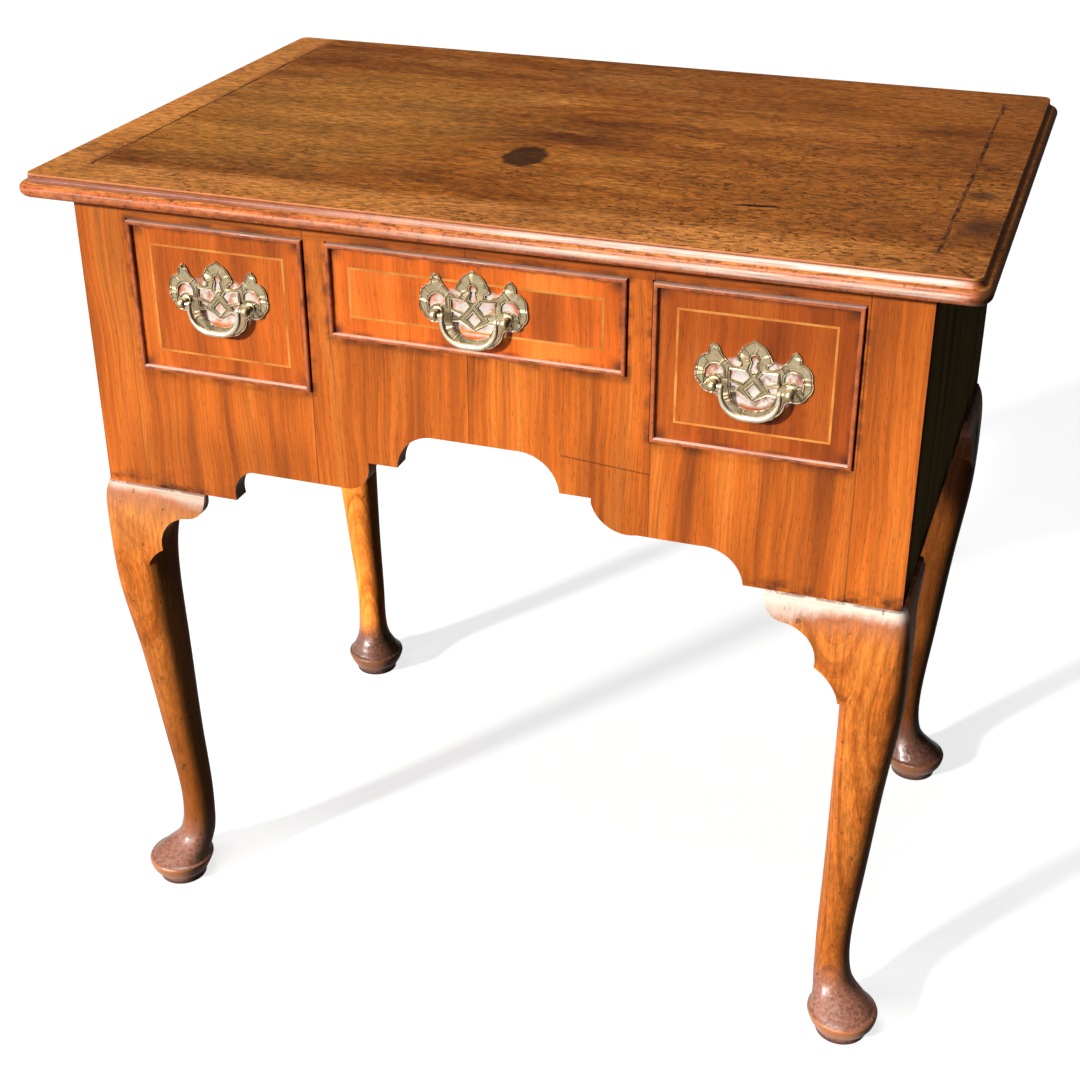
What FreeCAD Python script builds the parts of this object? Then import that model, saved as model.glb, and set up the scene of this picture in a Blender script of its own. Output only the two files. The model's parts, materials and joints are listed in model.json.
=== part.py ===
import FreeCAD, Part

import math
import os
import re

import Sketcher

# A walnut lowboy: a dressing table with three drawers in a row, on four cabriole legs.
# Millimetres, +Z up, the front faces -Y. The origin is on the floor, below the middle of the top.

SIZES = {
    # the whole piece
    "carcass_width": 685.0,
    "carcass_depth": 456.0,
    "total_height": 712.0,
    "carcass_height": 256.0,
    "side_overhang": 38.5,
    "front_overhang": 25.5,
    "back_overhang": 34.0,
    # top board and its edge moulding
    "top_thickness": 18.0,
    "moulding_depth": 8.1,
    "moulding_fillet": 1.5,
    "cove_drop": 6.9,
    "cove_start": 0.5,
    "corner_radius": 7.0,
    # inlaid lines
    "top_line_side_inset": 43.5,
    "top_line_front_inset": 48.0,
    "top_line_width": 2.0,
    "drawer_line_inset": 17.5,
    "drawer_line_width": 1.8,
    "line_depth": 1.0,
    # boards of the carcass
    "veneer_thickness": 1.6,
    "post_size": 44.0,
    "apron_thickness": 15.0,
    "side_thickness": 14.0,
    "back_thickness": 12.0,
    "rail_height": 16.0,
    "rail_depth": 60.0,
    "divider_width": 18.0,
    "runner_width": 16.0,
    "runner_height": 14.0,
    "block_size": 20.0,
    "block_length": 70.0,
    "stop_size": 12.0,
    "stop_drop": 14.0,
    "stop_gap": 0.2,
    # shaped lower edge of the apron
    "flat_half": 219.5,
    "shoulder_rise": 28.5,
    "shoulder_cove_left": 16.0,
    "shoulder_cove_right": 36.0,
    "ovolo_half": 95.0,
    "ovolo_rise": 22.5,
    "ovolo_left": 19.0,
    "ovolo_right": 38.0,
    "step_rise": 55.0,
    "crown_half": 69.0,
    "crown_left": 32.0,
    "crown_right": 38.0,
    "crown_rise": 86.0,
    # drawers
    "centre_width": 242.4,
    "centre_height": 76.5,
    "outer_width": 154.0,
    "outer_height": 127.0,
    "drawer_gap": 1.1,
    "front_thickness": 16.0,
    "field_setback": 0.4,
    "bead_width": 3.4,
    "bead_depth": 9.0,
    "bead_proud": 3.0,
    "bead_round": 1.2,
    "box_side": 8.0,
    "box_bottom": 6.0,
    "box_depth": 400.0,
    "box_inset": 2.2,
    "bottom_lift": 3.0,
    "box_headroom": 3.0,
    "box_back_drop": 8.0,
    "slide_gap": 0.3,
    # handles
    "left_handle_lift": 65.7,
    "centre_handle_lift": 33.2,
    "right_handle_lift": 56.6,
    "post_spacing": 57.0,
    "plate_scale": 1.0,
    "plate_thickness": 1.5,
    "shank_radius": 2.4,
    "shank_clearance": 0.08,
    "collar_radius": 4.2,
    "collar_length": 1.6,
    "neck_radius": 3.0,
    "ball_radius": 4.0,
    "post_step": 0.5,
    "shank_tail": 1.5,
    "pivot_standoff": 10.8,
    "nut_size": 11.0,
    "nut_thickness": 3.0,
    "bail_radius": 2.4,
    "bail_end_radius": 1.8,
    "bail_knuckle_radius": 2.3,
    "bail_pin_radius": 1.6,
    "bail_pin_clearance": 0.06,
    "bail_gap": 0.3,
    "bail_drop": 22.5,
    "bail_bend": 18.0,
    # legs
    "knee_proud": 9.0,
    "knee_drop": 50.0,
    "knee_half": 26.5,
    "knee_swell": 26.0,
    "knee_swell_proud": 8.2,
    "knee_bulge": 0.7,
    "knee_edge": 3.0,
    "knee_edge_proud": 3.6,
    "knee_top_proud": 2.0,
    "calf_drop": 98.0,
    "calf_inset": 16.5,
    "calf_radius": 24.8,
    "ankle_height": 78.0,
    "ankle_inset": 30.4,
    "ankle_radius": 15.0,
    "back_left_ankle_inset": 38.0,
    "foot_radius": 30.7,
    "foot_height": 17.0,
    "foot_tuck": 5.0,
    "foot_inset": 14.5,
    "back_foot_inset": 34.0,
    "back_left_foot_inset": 42.0,
    "pad_radius": 18.0,
    "pad_height": 7.0,
    # ears beside the knees
    "ear_reach_left": 93.0,
    "ear_reach_right": 105.0,
    "side_ear_reach": 92.0,
    "ear_thickness": 14.0,
    "ear_tip_back": 4.0,
    "ear_tip_proud": 5.0,
    "ear_setback": 0.3,
    "ear_start": 12.0,
    "ear_lip": 6.0,
    "ear_knuckle": 19.0,
    "ear_knuckle_drop": 17.0,
    "ear_hollow": 24.5,
    "ear_hollow_drop": 33.5,
    "ear_step": 0.8,
    "ear_tail": 20.0,
    "ear_tail_drop": 33.0,
    "ear_tail_proud": 3.2,
}

doc = FreeCAD.newDocument("lowboy")
sheet = doc.addObject("Spreadsheet::Sheet", "sizes")
for row, (alias, value) in enumerate(SIZES.items(), start=1):
    sheet.set(f"A{row}", alias)
    sheet.set(f"B{row}", str(value))
    sheet.setAlias(f"B{row}", alias)
doc.recompute()

# Planes that several pieces share, as expressions in the names of the sheet.
FRONT = "((front_overhang-back_overhang-carcass_depth)/2)"
BACK = "((front_overhang-back_overhang+carcass_depth)/2)"
HALF = "(carcass_width/2)"
UNDER = "(total_height-top_thickness)"
BOTTOM = "(total_height-top_thickness-carcass_height)"
CORE = f"({FRONT}+veneer_thickness)"
CORE_BACK = f"({CORE}+apron_thickness)"
POST_IN = f"({HALF}-veneer_thickness-post_size)"
OPEN_TOP = f"({UNDER}-rail_height)"
CALF = f"({BOTTOM}-calf_drop)"
BACK_BOARD = f"({BACK}-back_thickness)"
QUARTER = 0.2071  # rise over chord of a quarter circle
TAIL = 0.13  # the same for the flatter arc at an ear's lower end
NOSE = 0.42  # the same for the round nose of the top's moulding
KNEE_CORNER = 0.62  # corner radius over half width, at the knee

nodes = []  # every sub-part that is written out, in order


def bound(text):
    """The expression with each name looked up in the sheet."""
    return re.sub(r"[a-z_]+", lambda m: "sizes." + m.group(0) if m.group(0) in SIZES else m.group(0), str(text))


def number(text):
    return float(sheet.evalExpression(bound(text)))


def keep(item, label):
    item.Label = label
    nodes.append(item)
    return item


def bind(item, prop, text):
    item.setExpression(prop, bound(text))


def box(name, x, y, z):
    """A board between two planes each way; x, y and z are pairs of expressions."""
    item = doc.addObject("Part::Box", name)
    for side, axis, (low, high) in (("Length", "x", x), ("Width", "y", y), ("Height", "z", z)):
        bind(item, side, f"({high})-({low})")
        bind(item, f"Placement.Base.{axis}", low)
    return item


def rod(name, axis, x, y, z, radius, length):
    """A cylinder that starts at x, y, z and runs along +axis."""
    item = doc.addObject("Part::Cylinder", name)
    turn = {
        "x": FreeCAD.Rotation(FreeCAD.Vector(0, 1, 0), 90),
        "y": FreeCAD.Rotation(FreeCAD.Vector(1, 0, 0), -90),
        "z": FreeCAD.Rotation(),
    }[axis]
    item.Placement = FreeCAD.Placement(FreeCAD.Vector(), turn)
    bind(item, "Radius", radius)
    bind(item, "Height", length)
    for key, text in (("x", x), ("y", y), ("z", z)):
        bind(item, f"Placement.Base.{key}", text)
    return item


def fuse(name, *pieces):
    item = doc.addObject("Part::MultiFuse", name)
    item.Shapes = list(pieces)
    return item


def compound(name, *pieces):
    item = doc.addObject("Part::Compound", name)
    item.Links = list(pieces)
    return item


def cut(name, base, *tools):
    item = doc.addObject("Part::Cut", name)
    item.Base = base
    item.Tool = tools[0] if len(tools) == 1 else compound(name + "_tools", *tools)
    return item


def span(sign, inner, outer):
    """An x range on the left (-1) or right (+1) of the middle."""
    return (inner, outer) if sign > 0 else (f"-({outer})", f"-({inner})")


def trace(sketch, loop):
    """Draws a closed loop. Each corner is (x, y) or (x, y, bulge); the bulge, the rise of the arc over
    its chord, belongs to the stretch that ends at the corner, and is positive when it turns left."""
    count = len(loop)
    points = [FreeCAD.Vector(number(c[0]), number(c[1]), 0) for c in loop]
    first = sketch.GeometryCount
    shapes, ends, radii = [], [], []
    for i in range(count):
        a, b = points[i], points[(i + 1) % count]
        target = loop[(i + 1) % count]
        bulge = target[2] if len(target) > 2 else 0
        if not bulge:
            shapes.append(Part.LineSegment(a, b))
            ends.append((1, 2))
            continue
        chord = b - a
        factor = (0.25 + bulge * bulge) / (2 * abs(bulge))
        radius = chord.Length * factor
        left = FreeCAD.Vector(-chord.y, chord.x, 0).normalize()
        toward = left if bulge > 0 else left * -1
        centre = (a + b) * 0.5 + toward * (radius - abs(bulge) * chord.Length)
        turn_a = math.atan2(a.y - centre.y, a.x - centre.x)
        turn_b = math.atan2(b.y - centre.y, b.x - centre.x)
        circle = Part.Circle(centre, FreeCAD.Vector(0, 0, 1), radius)
        start, stop = (turn_a, turn_b) if bulge > 0 else (turn_b, turn_a)
        if stop < start:
            stop += 2 * math.pi
        shapes.append(Part.ArcOfCircle(circle, start, stop))
        ends.append((1, 2) if bulge > 0 else (2, 1))
        here, there = loop[i], target
        run = f"(({there[0]})-({here[0]}))"
        rise = f"(({there[1]})-({here[1]}))"
        radii.append((first + i, radius, f"sqrt({run}*{run}+{rise}*{rise})*{factor:.6f}"))
    sketch.addGeometry(shapes)
    rules, texts = [], []
    for i in range(count):
        nxt = (i + 1) % count
        rules.append(Sketcher.Constraint("Coincident", first + i, ends[i][1], first + nxt, ends[nxt][0]))
        texts.append(None)
        for axis, text, value in (("DistanceX", loop[i][0], points[i].x), ("DistanceY", loop[i][1], points[i].y)):
            rules.append(Sketcher.Constraint(axis, first + i, ends[i][0], value))
            texts.append(text)
    for index, radius, text in radii:
        rules.append(Sketcher.Constraint("Radius", index, radius))
        texts.append(text)
    bind_rules(sketch, rules, texts)


def ring(sketch, x, y, radius):
    """A circle."""
    first = sketch.GeometryCount
    centre = FreeCAD.Vector(number(x), number(y), 0)
    sketch.addGeometry(Part.Circle(centre, FreeCAD.Vector(0, 0, 1), number(radius)))
    rules = [
        Sketcher.Constraint("DistanceX", first, 3, centre.x),
        Sketcher.Constraint("DistanceY", first, 3, centre.y),
        Sketcher.Constraint("Radius", first, number(radius)),
    ]
    bind_rules(sketch, rules, [x, y, radius])


def bind_rules(sketch, rules, texts):
    start = sketch.ConstraintCount
    sketch.addConstraint(rules)
    for offset, text in enumerate(texts):
        if text is not None and bound(text) != str(text):
            sketch.setExpression(f"Constraints[{start + offset}]", bound(text))


def new_body(name):
    return doc.addObject("PartDesign::Body", name)


def sketch_on(body, name, plane, lift, loops=(), rings=()):
    """A sketch on an origin plane of its body, lifted along the plane's normal."""
    sketch = body.newObject("Sketcher::SketchObject", name)
    origin = next(p for p in body.Origin.OriginFeatures if p.Role == plane)
    sketch.AttachmentSupport = [(origin, "")]
    sketch.MapMode = "FlatFace"
    bind(sketch, "AttachmentOffset.Base.z", lift)
    for loop in loops:
        trace(sketch, loop)
    for x, y, radius in rings:
        ring(sketch, x, y, radius)
    return sketch


def pad(body, name, sketch, length):
    feature = body.newObject("PartDesign::Pad", name)
    feature.Profile = (sketch, [""])
    bind(feature, "Length", length)
    return feature


def front_plate(name, y, loops, rings=()):
    """A plate whose outline lies in XZ, between two planes of y."""
    body = new_body(name)
    sketch = sketch_on(body, name + "_outline", "XZ_Plane", f"-({y[1]})", loops, rings)
    pad(body, name + "_pad", sketch, f"({y[1]})-({y[0]})")
    return body


def side_plate(name, x, loops):
    """A plate whose outline lies in YZ, between two planes of x."""
    body = new_body(name)
    sketch = sketch_on(body, name + "_outline", "YZ_Plane", x[0], loops)
    pad(body, name + "_pad", sketch, f"({x[1]})-({x[0]})")
    return body


def plan_plate(name, z, loops):
    """A plate whose outline lies in XY, between two planes of z."""
    body = new_body(name)
    sketch = sketch_on(body, name + "_outline", "XY_Plane", z[0], loops)
    pad(body, name + "_pad", sketch, f"({z[1]})-({z[0]})")
    return body


def rectangle(x, z):
    return [(x[0], z[0]), (x[1], z[0]), (x[1], z[1]), (x[0], z[1])]


def rounded(cx, cy, half, radius):
    """A square with round corners, about cx, cy."""
    x0, x1 = f"({cx})-({half})", f"({cx})+({half})"
    y0, y1 = f"({cy})-({half})", f"({cy})+({half})"
    r = f"({radius})"
    return [
        (f"{x0}+{r}", y0, QUARTER), (f"{x1}-{r}", y0), (x1, f"{y0}+{r}", QUARTER), (x1, f"{y1}-{r}"),
        (f"{x1}-{r}", y1, QUARTER), (f"{x0}+{r}", y1), (x0, f"{y1}-{r}", QUARTER), (x0, f"{y0}+{r}"),
    ]


def frame_ring(name, outer, inner, y):
    """A rectangular frame standing in XZ; outer and inner are (x range, z range)."""
    return cut(name, box(name + "_outer", outer[0], y, outer[1]), box(name + "_inner", inner[0], y, inner[1]))


# ---------------------------------------------------------------- top board

def make_top():
    edge_x = f"({HALF}+side_overhang-moulding_depth)"
    edge_y = "((front_overhang+back_overhang+carcass_depth)/2-moulding_depth)"
    r = "corner_radius"
    outline = [
        (edge_x, "0"), (edge_x, f"{edge_y}-{r}"), (f"{edge_x}-{r}", edge_y, QUARTER), (f"-{edge_x}+{r}", edge_y),
        (f"-{edge_x}", f"{edge_y}-{r}", QUARTER), (f"-{edge_x}", f"-{edge_y}+{r}"),
        (f"-{edge_x}+{r}", f"-{edge_y}", QUARTER), (f"{edge_x}-{r}", f"-{edge_y}"),
        (edge_x, f"-{edge_y}+{r}", QUARTER),
    ]
    body = new_body("top_slab")
    plan = sketch_on(body, "top_plan", "XY_Plane", UNDER, [outline])
    pad(body, "top_pad", plan, "top_thickness")
    d, h, f, c = "moulding_depth", "total_height", "moulding_fillet", "cove_drop"
    root = f"({edge_x}+{d}-(top_thickness-{c})*{NOSE})"
    inside = f"{edge_x}-corner_radius/2"
    section = [
        (inside, UNDER), (root, UNDER), (root, f"{h}-{c}", NOSE), (f"{edge_x}+cove_start", f"{h}-{f}", -QUARTER),
        (edge_x, f"{h}-{f}"), (edge_x, h), (inside, h),
    ]
    profile = sketch_on(body, "top_moulding_section", "XZ_Plane", "0", [section])
    sweep = body.newObject("PartDesign::AdditivePipe", "top_moulding")
    sweep.Profile = (profile, [""])
    sweep.Spine = (plan, [f"Edge{i + 1}" for i in range(9)])
    sweep.Transition = "Transformed"
    out_x, in_x = f"({HALF}+side_overhang-top_line_side_inset)", "top_line_width"
    out_y = "((front_overhang+back_overhang+carcass_depth)/2-top_line_front_inset)"
    deep = (f"{h}-line_depth", h)
    outer = box("top_line_outer", (f"-{out_x}", out_x), (f"-{out_y}", out_y), deep)
    inner = box("top_line_inner", (f"-{out_x}+{in_x}", f"{out_x}-{in_x}"),
                (f"-{out_y}+{in_x}", f"{out_y}-{in_x}"), deep)
    line = keep(cut("top_line_cut", outer, inner), "top_stringing")
    keep(cut("top_cut", body, line), "top_board")


# ---------------------------------------------------------------- carcass

def lower_edge():
    """The shaped lower edge of the apron, from left to right."""
    z = BOTTOM
    return [
        ("-flat_half", z), ("-flat_half+shoulder_cove_left", f"{z}+shoulder_rise", -QUARTER),
        ("-ovolo_half-ovolo_left", f"{z}+shoulder_rise"),
        ("-ovolo_half", f"{z}+shoulder_rise+ovolo_rise", QUARTER), ("-ovolo_half", f"{z}+step_rise"),
        ("-crown_half", f"{z}+step_rise"), ("-crown_half+crown_left", f"{z}+crown_rise", -QUARTER),
        ("crown_half-crown_right", f"{z}+crown_rise"), ("crown_half", f"{z}+step_rise", -QUARTER),
        ("ovolo_half", f"{z}+step_rise"), ("ovolo_half", f"{z}+shoulder_rise+ovolo_rise"),
        ("ovolo_half+ovolo_right", f"{z}+shoulder_rise", QUARTER),
        ("flat_half-shoulder_cove_right", f"{z}+shoulder_rise"), ("flat_half", z, -QUARTER),
    ]


def opening(which):
    """The x and z ranges of a drawer's opening in the front."""
    if which == "centre":
        x = ("-centre_width/2-drawer_gap", "centre_width/2+drawer_gap")
        return x, (f"{OPEN_TOP}-centre_height-2*drawer_gap", OPEN_TOP)
    inner = "centre_width/2+drawer_gap+divider_width"
    x = span(-1 if which == "left" else 1, inner, f"{inner}+outer_width+2*drawer_gap")
    return x, (f"{OPEN_TOP}-outer_height-2*drawer_gap", OPEN_TOP)


def make_front():
    low = lower_edge()
    outline = [(f"-{HALF}", BOTTOM)] + low + [(HALF, BOTTOM), (HALF, UNDER), (f"-{HALF}", UNDER)]
    holes = [rectangle(*opening(which)) for which in ("left", "centre", "right")]
    keep(front_plate("front_face", (FRONT, CORE), [outline] + holes), "front_veneer")

    sill = opening("right")[1][0]
    centre_sill = opening("centre")[1][0]
    step = "(centre_width/2+drawer_gap)"
    outline = [(f"-{POST_IN}", BOTTOM)] + low + [
        (POST_IN, BOTTOM), (POST_IN, sill), (step, sill), (step, centre_sill),
        (f"-{step}", centre_sill), (f"-{step}", sill), (f"-{POST_IN}", sill),
    ]
    keep(front_plate("apron_core", (CORE, CORE_BACK), [outline]), "apron_board")
    keep(box("rail", (f"-{POST_IN}", POST_IN), (CORE, f"{CORE}+rail_depth"), (OPEN_TOP, UNDER)), "top_rail")


def make_carcass():
    sill = opening("right")[1][0]
    rest = f"({sill}-runner_height)"
    step = "(centre_width/2+drawer_gap)"
    for word, sign in (("left", -1), ("right", 1)):
        deep = box(f"partition_{word}", span(sign, step, f"{step}+divider_width"), (CORE_BACK, BACK_BOARD),
                   (rest, OPEN_TOP))
        lip = box(f"muntin_{word}", span(sign, step, f"{step}+divider_width"), (CORE, CORE_BACK), (sill, OPEN_TOP))
        keep(fuse(f"divider_{word}", deep, lip), f"drawer_divider_{word}")
        wall = span(sign, f"{HALF}-veneer_thickness-side_thickness", f"{HALF}-veneer_thickness")
        between = (f"{CORE}+post_size", f"{BACK}-veneer_thickness-post_size")
        keep(box(f"wall_{word}", wall, between, (BOTTOM, UNDER)), f"side_board_{word}")
        skin = span(sign, f"{HALF}-veneer_thickness", HALF)
        keep(box(f"skin_{word}", skin, (CORE, BACK), (BOTTOM, UNDER)), f"side_veneer_{word}")
    keep(box("back_panel", (f"-{POST_IN}", POST_IN), (BACK_BOARD, f"{BACK}-veneer_thickness"),
             (BOTTOM, UNDER)), "back_board")

    # runners carry the drawers' sides, kickers keep them from tipping
    low, high = (rest, f"{sill}+drawer_gap-slide_gap"), "centre_height-outer_height"
    lift = f"(({high})*-1)"
    along = (CORE_BACK, BACK_BOARD)
    side_in = f"{step}+divider_width"
    runners, kickers = [], []
    for word, sign in (("left", -1), ("right", 1)):
        runners.append(box(f"runner_out_{word}", span(sign, f"{POST_IN}-runner_width", POST_IN), along, low))
        runners.append(box(f"runner_in_{word}", span(sign, side_in, f"{side_in}+runner_width"), along, low))
        raised = (f"{low[0]}+{lift}", f"{low[1]}+{lift}")
        runners.append(box(f"runner_mid_{word}", span(sign, f"{step}-runner_width", step), along, raised))
        kick = (f"{CORE}+rail_depth", BACK_BOARD)
        kickers.append(box(f"kicker_out_{word}", span(sign, f"{POST_IN}-runner_width", POST_IN), kick,
                           (OPEN_TOP, UNDER)))
        kickers.append(box(f"kicker_in_{word}", span(sign, f"{step}-runner_width", f"{side_in}+runner_width"),
                           kick, (OPEN_TOP, UNDER)))
    keep(compound("runner_set", *runners), "drawer_runners")
    keep(compound("kicker_set", *kickers), "drawer_kickers")

    # glue blocks in the angle of the top and the side and back boards
    blocks = []
    inner = f"{HALF}-veneer_thickness-side_thickness"
    for word, sign in (("left", -1), ("right", 1)):
        for part, where in (("front", 0.3), ("back", 0.7)):
            middle = f"({FRONT}+carcass_depth*{where})"
            blocks.append(box(f"block_{word}_{part}", span(sign, f"{inner}-block_size", inner),
                              (f"{middle}-block_length/2", f"{middle}+block_length/2"),
                              (f"{UNDER}-block_size", UNDER)))
    keep(compound("block_set", *blocks), "glue_blocks")

    # stops glued to the apron's back, which stand up behind each drawer's front
    stops = []
    meet = f"({FRONT}+field_setback+front_thickness+stop_gap)"
    for which in ("left", "centre", "right"):
        x, z = opening(which)
        middle = f"((({x[0]})+({x[1]}))/2)"
        wide = (f"{middle}-stop_size", f"{middle}+stop_size")
        stops.append(fuse(
            f"stop_{which}",
            box(f"stop_{which}_foot", wide, (CORE_BACK, f"{meet}+stop_size"), (f"{z[0]}-stop_drop", z[0])),
            box(f"stop_{which}_head", wide, (meet, f"{meet}+stop_size"), (f"{z[0]}-1", f"{z[0]}+bottom_lift")),
        ))
    keep(compound("stop_set", *stops), "drawer_stops")


# ---------------------------------------------------------------- legs and ears

def make_leg(name, side, end, ankle_in, ankle_end, foot_in, foot_end):
    """A cabriole leg with its post. side is -1 left, +1 right; end is -1 front, +1 back. The four
    insets place the ankle and the foot in from the carcass's side and end."""
    edge_x = f"({side}*{HALF})"
    edge_y = FRONT if end < 0 else BACK
    body = new_body(name + "_body")

    def at(inset_x, inset_y):
        return f"{edge_x}-({side})*({inset_x})", f"{edge_y}-({end})*({inset_y})"

    x, y = at(foot_in, foot_end)
    pad(body, name + "_pad", sketch_on(body, name + "_pad_plan", "XY_Plane", "0", (), [(x, y, "pad_radius")]),
        "pad_height+1")

    def blend(low, high, part):
        return f"(({low})*{1 - part:.3f}+({high})*{part:.3f})"

    post = "(post_size/2+veneer_thickness)"

    def shoulder(depth, proud, corner):
        """A station near the top, between the knee's width and the post's, that stands proud."""
        inset = f"({post}-({proud})/2)"
        return f"{BOTTOM}-{depth}", inset, inset, f"({post}+({proud})/2)", corner

    # height, inset across, inset along, half width, corner radius
    stations = [
        ("pad_height", foot_in, foot_end, "foot_radius-foot_tuck", 0.985),
        ("foot_height", foot_in, foot_end, "foot_radius", 0.985),
        ("foot_height+5", blend(foot_in, ankle_in, 0.10), blend(foot_end, ankle_end, 0.10),
         blend("foot_radius", "ankle_radius", 0.10), 0.985),
        ("foot_height+15", blend(foot_in, ankle_in, 0.45), blend(foot_end, ankle_end, 0.45),
         blend("foot_radius", "ankle_radius", 0.47), 0.985),
        ("foot_height+29", blend(foot_in, ankle_in, 0.82), blend(foot_end, ankle_end, 0.82),
         blend("foot_radius", "ankle_radius", 0.84), 0.985),
        ("ankle_height-14", blend(foot_in, ankle_in, 0.97), blend(foot_end, ankle_end, 0.97),
         blend("foot_radius", "ankle_radius", 0.985), 0.985),
        ("ankle_height+10", ankle_in, ankle_end, "ankle_radius", 0.985),
    ]
    for part, corner in ((0.28, 0.97), (0.52, 0.92), (0.76, 0.83)):
        curve = part ** 1.15
        stations.append((blend("ankle_height", CALF, part), blend(ankle_in, "calf_inset", curve),
                         blend(ankle_end, "calf_inset", curve),
                         blend("ankle_radius", "calf_radius", part ** 1.3), corner))
    stations += [
        (CALF, "calf_inset", "calf_inset", "calf_radius", 0.74),
        (f"{BOTTOM}-knee_drop", "knee_half-knee_proud", "knee_half-knee_proud", "knee_half", KNEE_CORNER),
        shoulder("knee_swell", "knee_swell_proud", 0.48),
        shoulder("knee_swell/2", "(knee_swell_proud+knee_edge_proud)/2+knee_bulge", 0.38),
        shoulder("knee_edge", "knee_edge_proud", 0.30),
        shoulder("0", "knee_top_proud", 0.24),
    ]
    sections = []
    for index, (height, inset_x, inset_y, half, corner) in enumerate(stations):
        x, y = at(inset_x, inset_y)
        loop = rounded(x, y, half, f"({half})*{corner}")
        sections.append(sketch_on(body, f"{name}_section_{index}", "XY_Plane", height, [loop]))
    loft = body.newObject("PartDesign::AdditiveLoft", name + "_loft")
    loft.Profile = (sections[0], [""])
    loft.Sections = [(section, [""]) for section in sections[1:]]
    x, y = at(post, post)
    square = [
        (f"{x}-post_size/2", f"{y}-post_size/2"), (f"{x}+post_size/2", f"{y}-post_size/2"),
        (f"{x}+post_size/2", f"{y}+post_size/2"), (f"{x}-post_size/2", f"{y}+post_size/2"),
    ]
    pad(body, name + "_post", sketch_on(body, name + "_post_plan", "XY_Plane", f"{BOTTOM}-1", [square]),
        f"{UNDER}-{BOTTOM}+1")
    return keep(body, name)


def ear_outline(edge, sign, reach):
    """The ear's outline: top edge, knuckle, hollow, small step and tail, mirrored by sign."""
    def u(inset):
        return f"{edge}-({sign})*({inset})"

    top = BOTTOM
    tip = f"({reach})"
    first = f"({tip}-ear_knuckle)"
    second = f"({first}-ear_hollow)"
    third = f"({second}-ear_tail)"
    z1 = f"({top}-ear_lip)"
    z2 = f"({z1}-ear_knuckle_drop)"
    z3 = f"({z2}-ear_hollow_drop)"
    z4 = f"({z3}-ear_step)"
    z5 = f"({z4}-ear_tail_drop)"
    turn = QUARTER * sign
    return [
        (u("ear_start"), top), (u(tip), top), (u(tip), z1), (u(first), z2, turn), (u(second), z3, -turn),
        (u(second), z4), (u(third), z5, -TAIL * sign), (u("ear_start"), z5),
    ]


def ear_low():
    return f"({BOTTOM}-ear_lip-ear_knuckle_drop-ear_hollow_drop-ear_step-ear_tail_drop-1)"


def ear_stops(edge, sign, reach):
    """Where the ear starts, leaves the knee's flat face and ends, along from the corner of the carcass."""
    knee = f"{edge}-({sign})*(knee_half-knee_proud+knee_half*{1 - KNEE_CORNER:.2f})"
    start = f"{edge}-({sign})*ear_start"
    tip = f"{edge}-({sign})*(({reach})+1)"
    return start, knee, tip


def ear_section(out, facing):
    """The swell of the ear's face from its lower end to its top edge; out is the carcass's face there and
    facing the way it looks, as -1 or +1."""
    def face(proud):
        return f"{out}+({facing})*({proud}-ear_setback)"

    back = f"{out}-({facing})*ear_thickness"
    return [
        (back, ear_low()), (face("ear_tail_proud"), ear_low()),
        (face("knee_proud"), f"{BOTTOM}-knee_drop", 0.06 * facing),
        (face("knee_swell_proud"), f"{BOTTOM}-knee_swell"),
        (face("knee_edge_proud"), f"{BOTTOM}-knee_edge", 0.05 * facing),
        (face("knee_top_proud"), BOTTOM, 0.12 * facing), (back, BOTTOM),
    ]


def make_front_ear(name, side, leg, reach):
    edge = f"({side}*{HALF})"
    face, back = f"{FRONT}-knee_proud+ear_setback", f"{FRONT}+ear_thickness"
    plate = front_plate(name + "_plate", (face, back), [ear_outline(edge, side, reach)])
    start, knee, tip = ear_stops(edge, side, reach)
    loop = [
        (start, face), (knee, face), (tip, f"{FRONT}-ear_tip_proud", -0.02 * side),
        (tip, f"{FRONT}+ear_tip_back"), (start, back),
    ]
    plan = plan_plate(name + "_plan", (ear_low(), BOTTOM), [loop])
    low, high = (tip, start) if side > 0 else (start, tip)
    swell = side_plate(name + "_swell", (low, high), [ear_section(FRONT, -1)])
    return finish_ear(name, plate, plan, swell, leg)


def make_side_ear(name, side, end, leg, reach):
    edge = FRONT if end < 0 else BACK
    out = f"({side}*{HALF})"
    face, back = f"{out}+({side})*(knee_proud-ear_setback)", f"{out}-({side})*ear_thickness"
    low, high = (back, face) if side > 0 else (face, back)
    plate = side_plate(name + "_plate", (low, high), [ear_outline(edge, end, reach)])
    start, knee, tip = ear_stops(edge, end, reach)
    loop = [
        (face, start), (face, knee), (f"{out}+({side})*ear_tip_proud", tip, 0.02 * side * end),
        (f"{out}-({side})*ear_tip_back", tip), (back, start),
    ]
    plan = plan_plate(name + "_plan", (ear_low(), BOTTOM), [loop])
    low, high = (tip, start) if end > 0 else (start, tip)
    swell = front_plate(name + "_swell", (low, high), [ear_section(out, side)])
    return finish_ear(name, plate, plan, swell, leg)


def finish_ear(name, plate, plan, swell, leg):
    shape = doc.addObject("Part::MultiCommon", name + "_shape")
    shape.Shapes = [plate, plan, swell]
    return keep(cut(name + "_cut", shape, leg), name)


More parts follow.
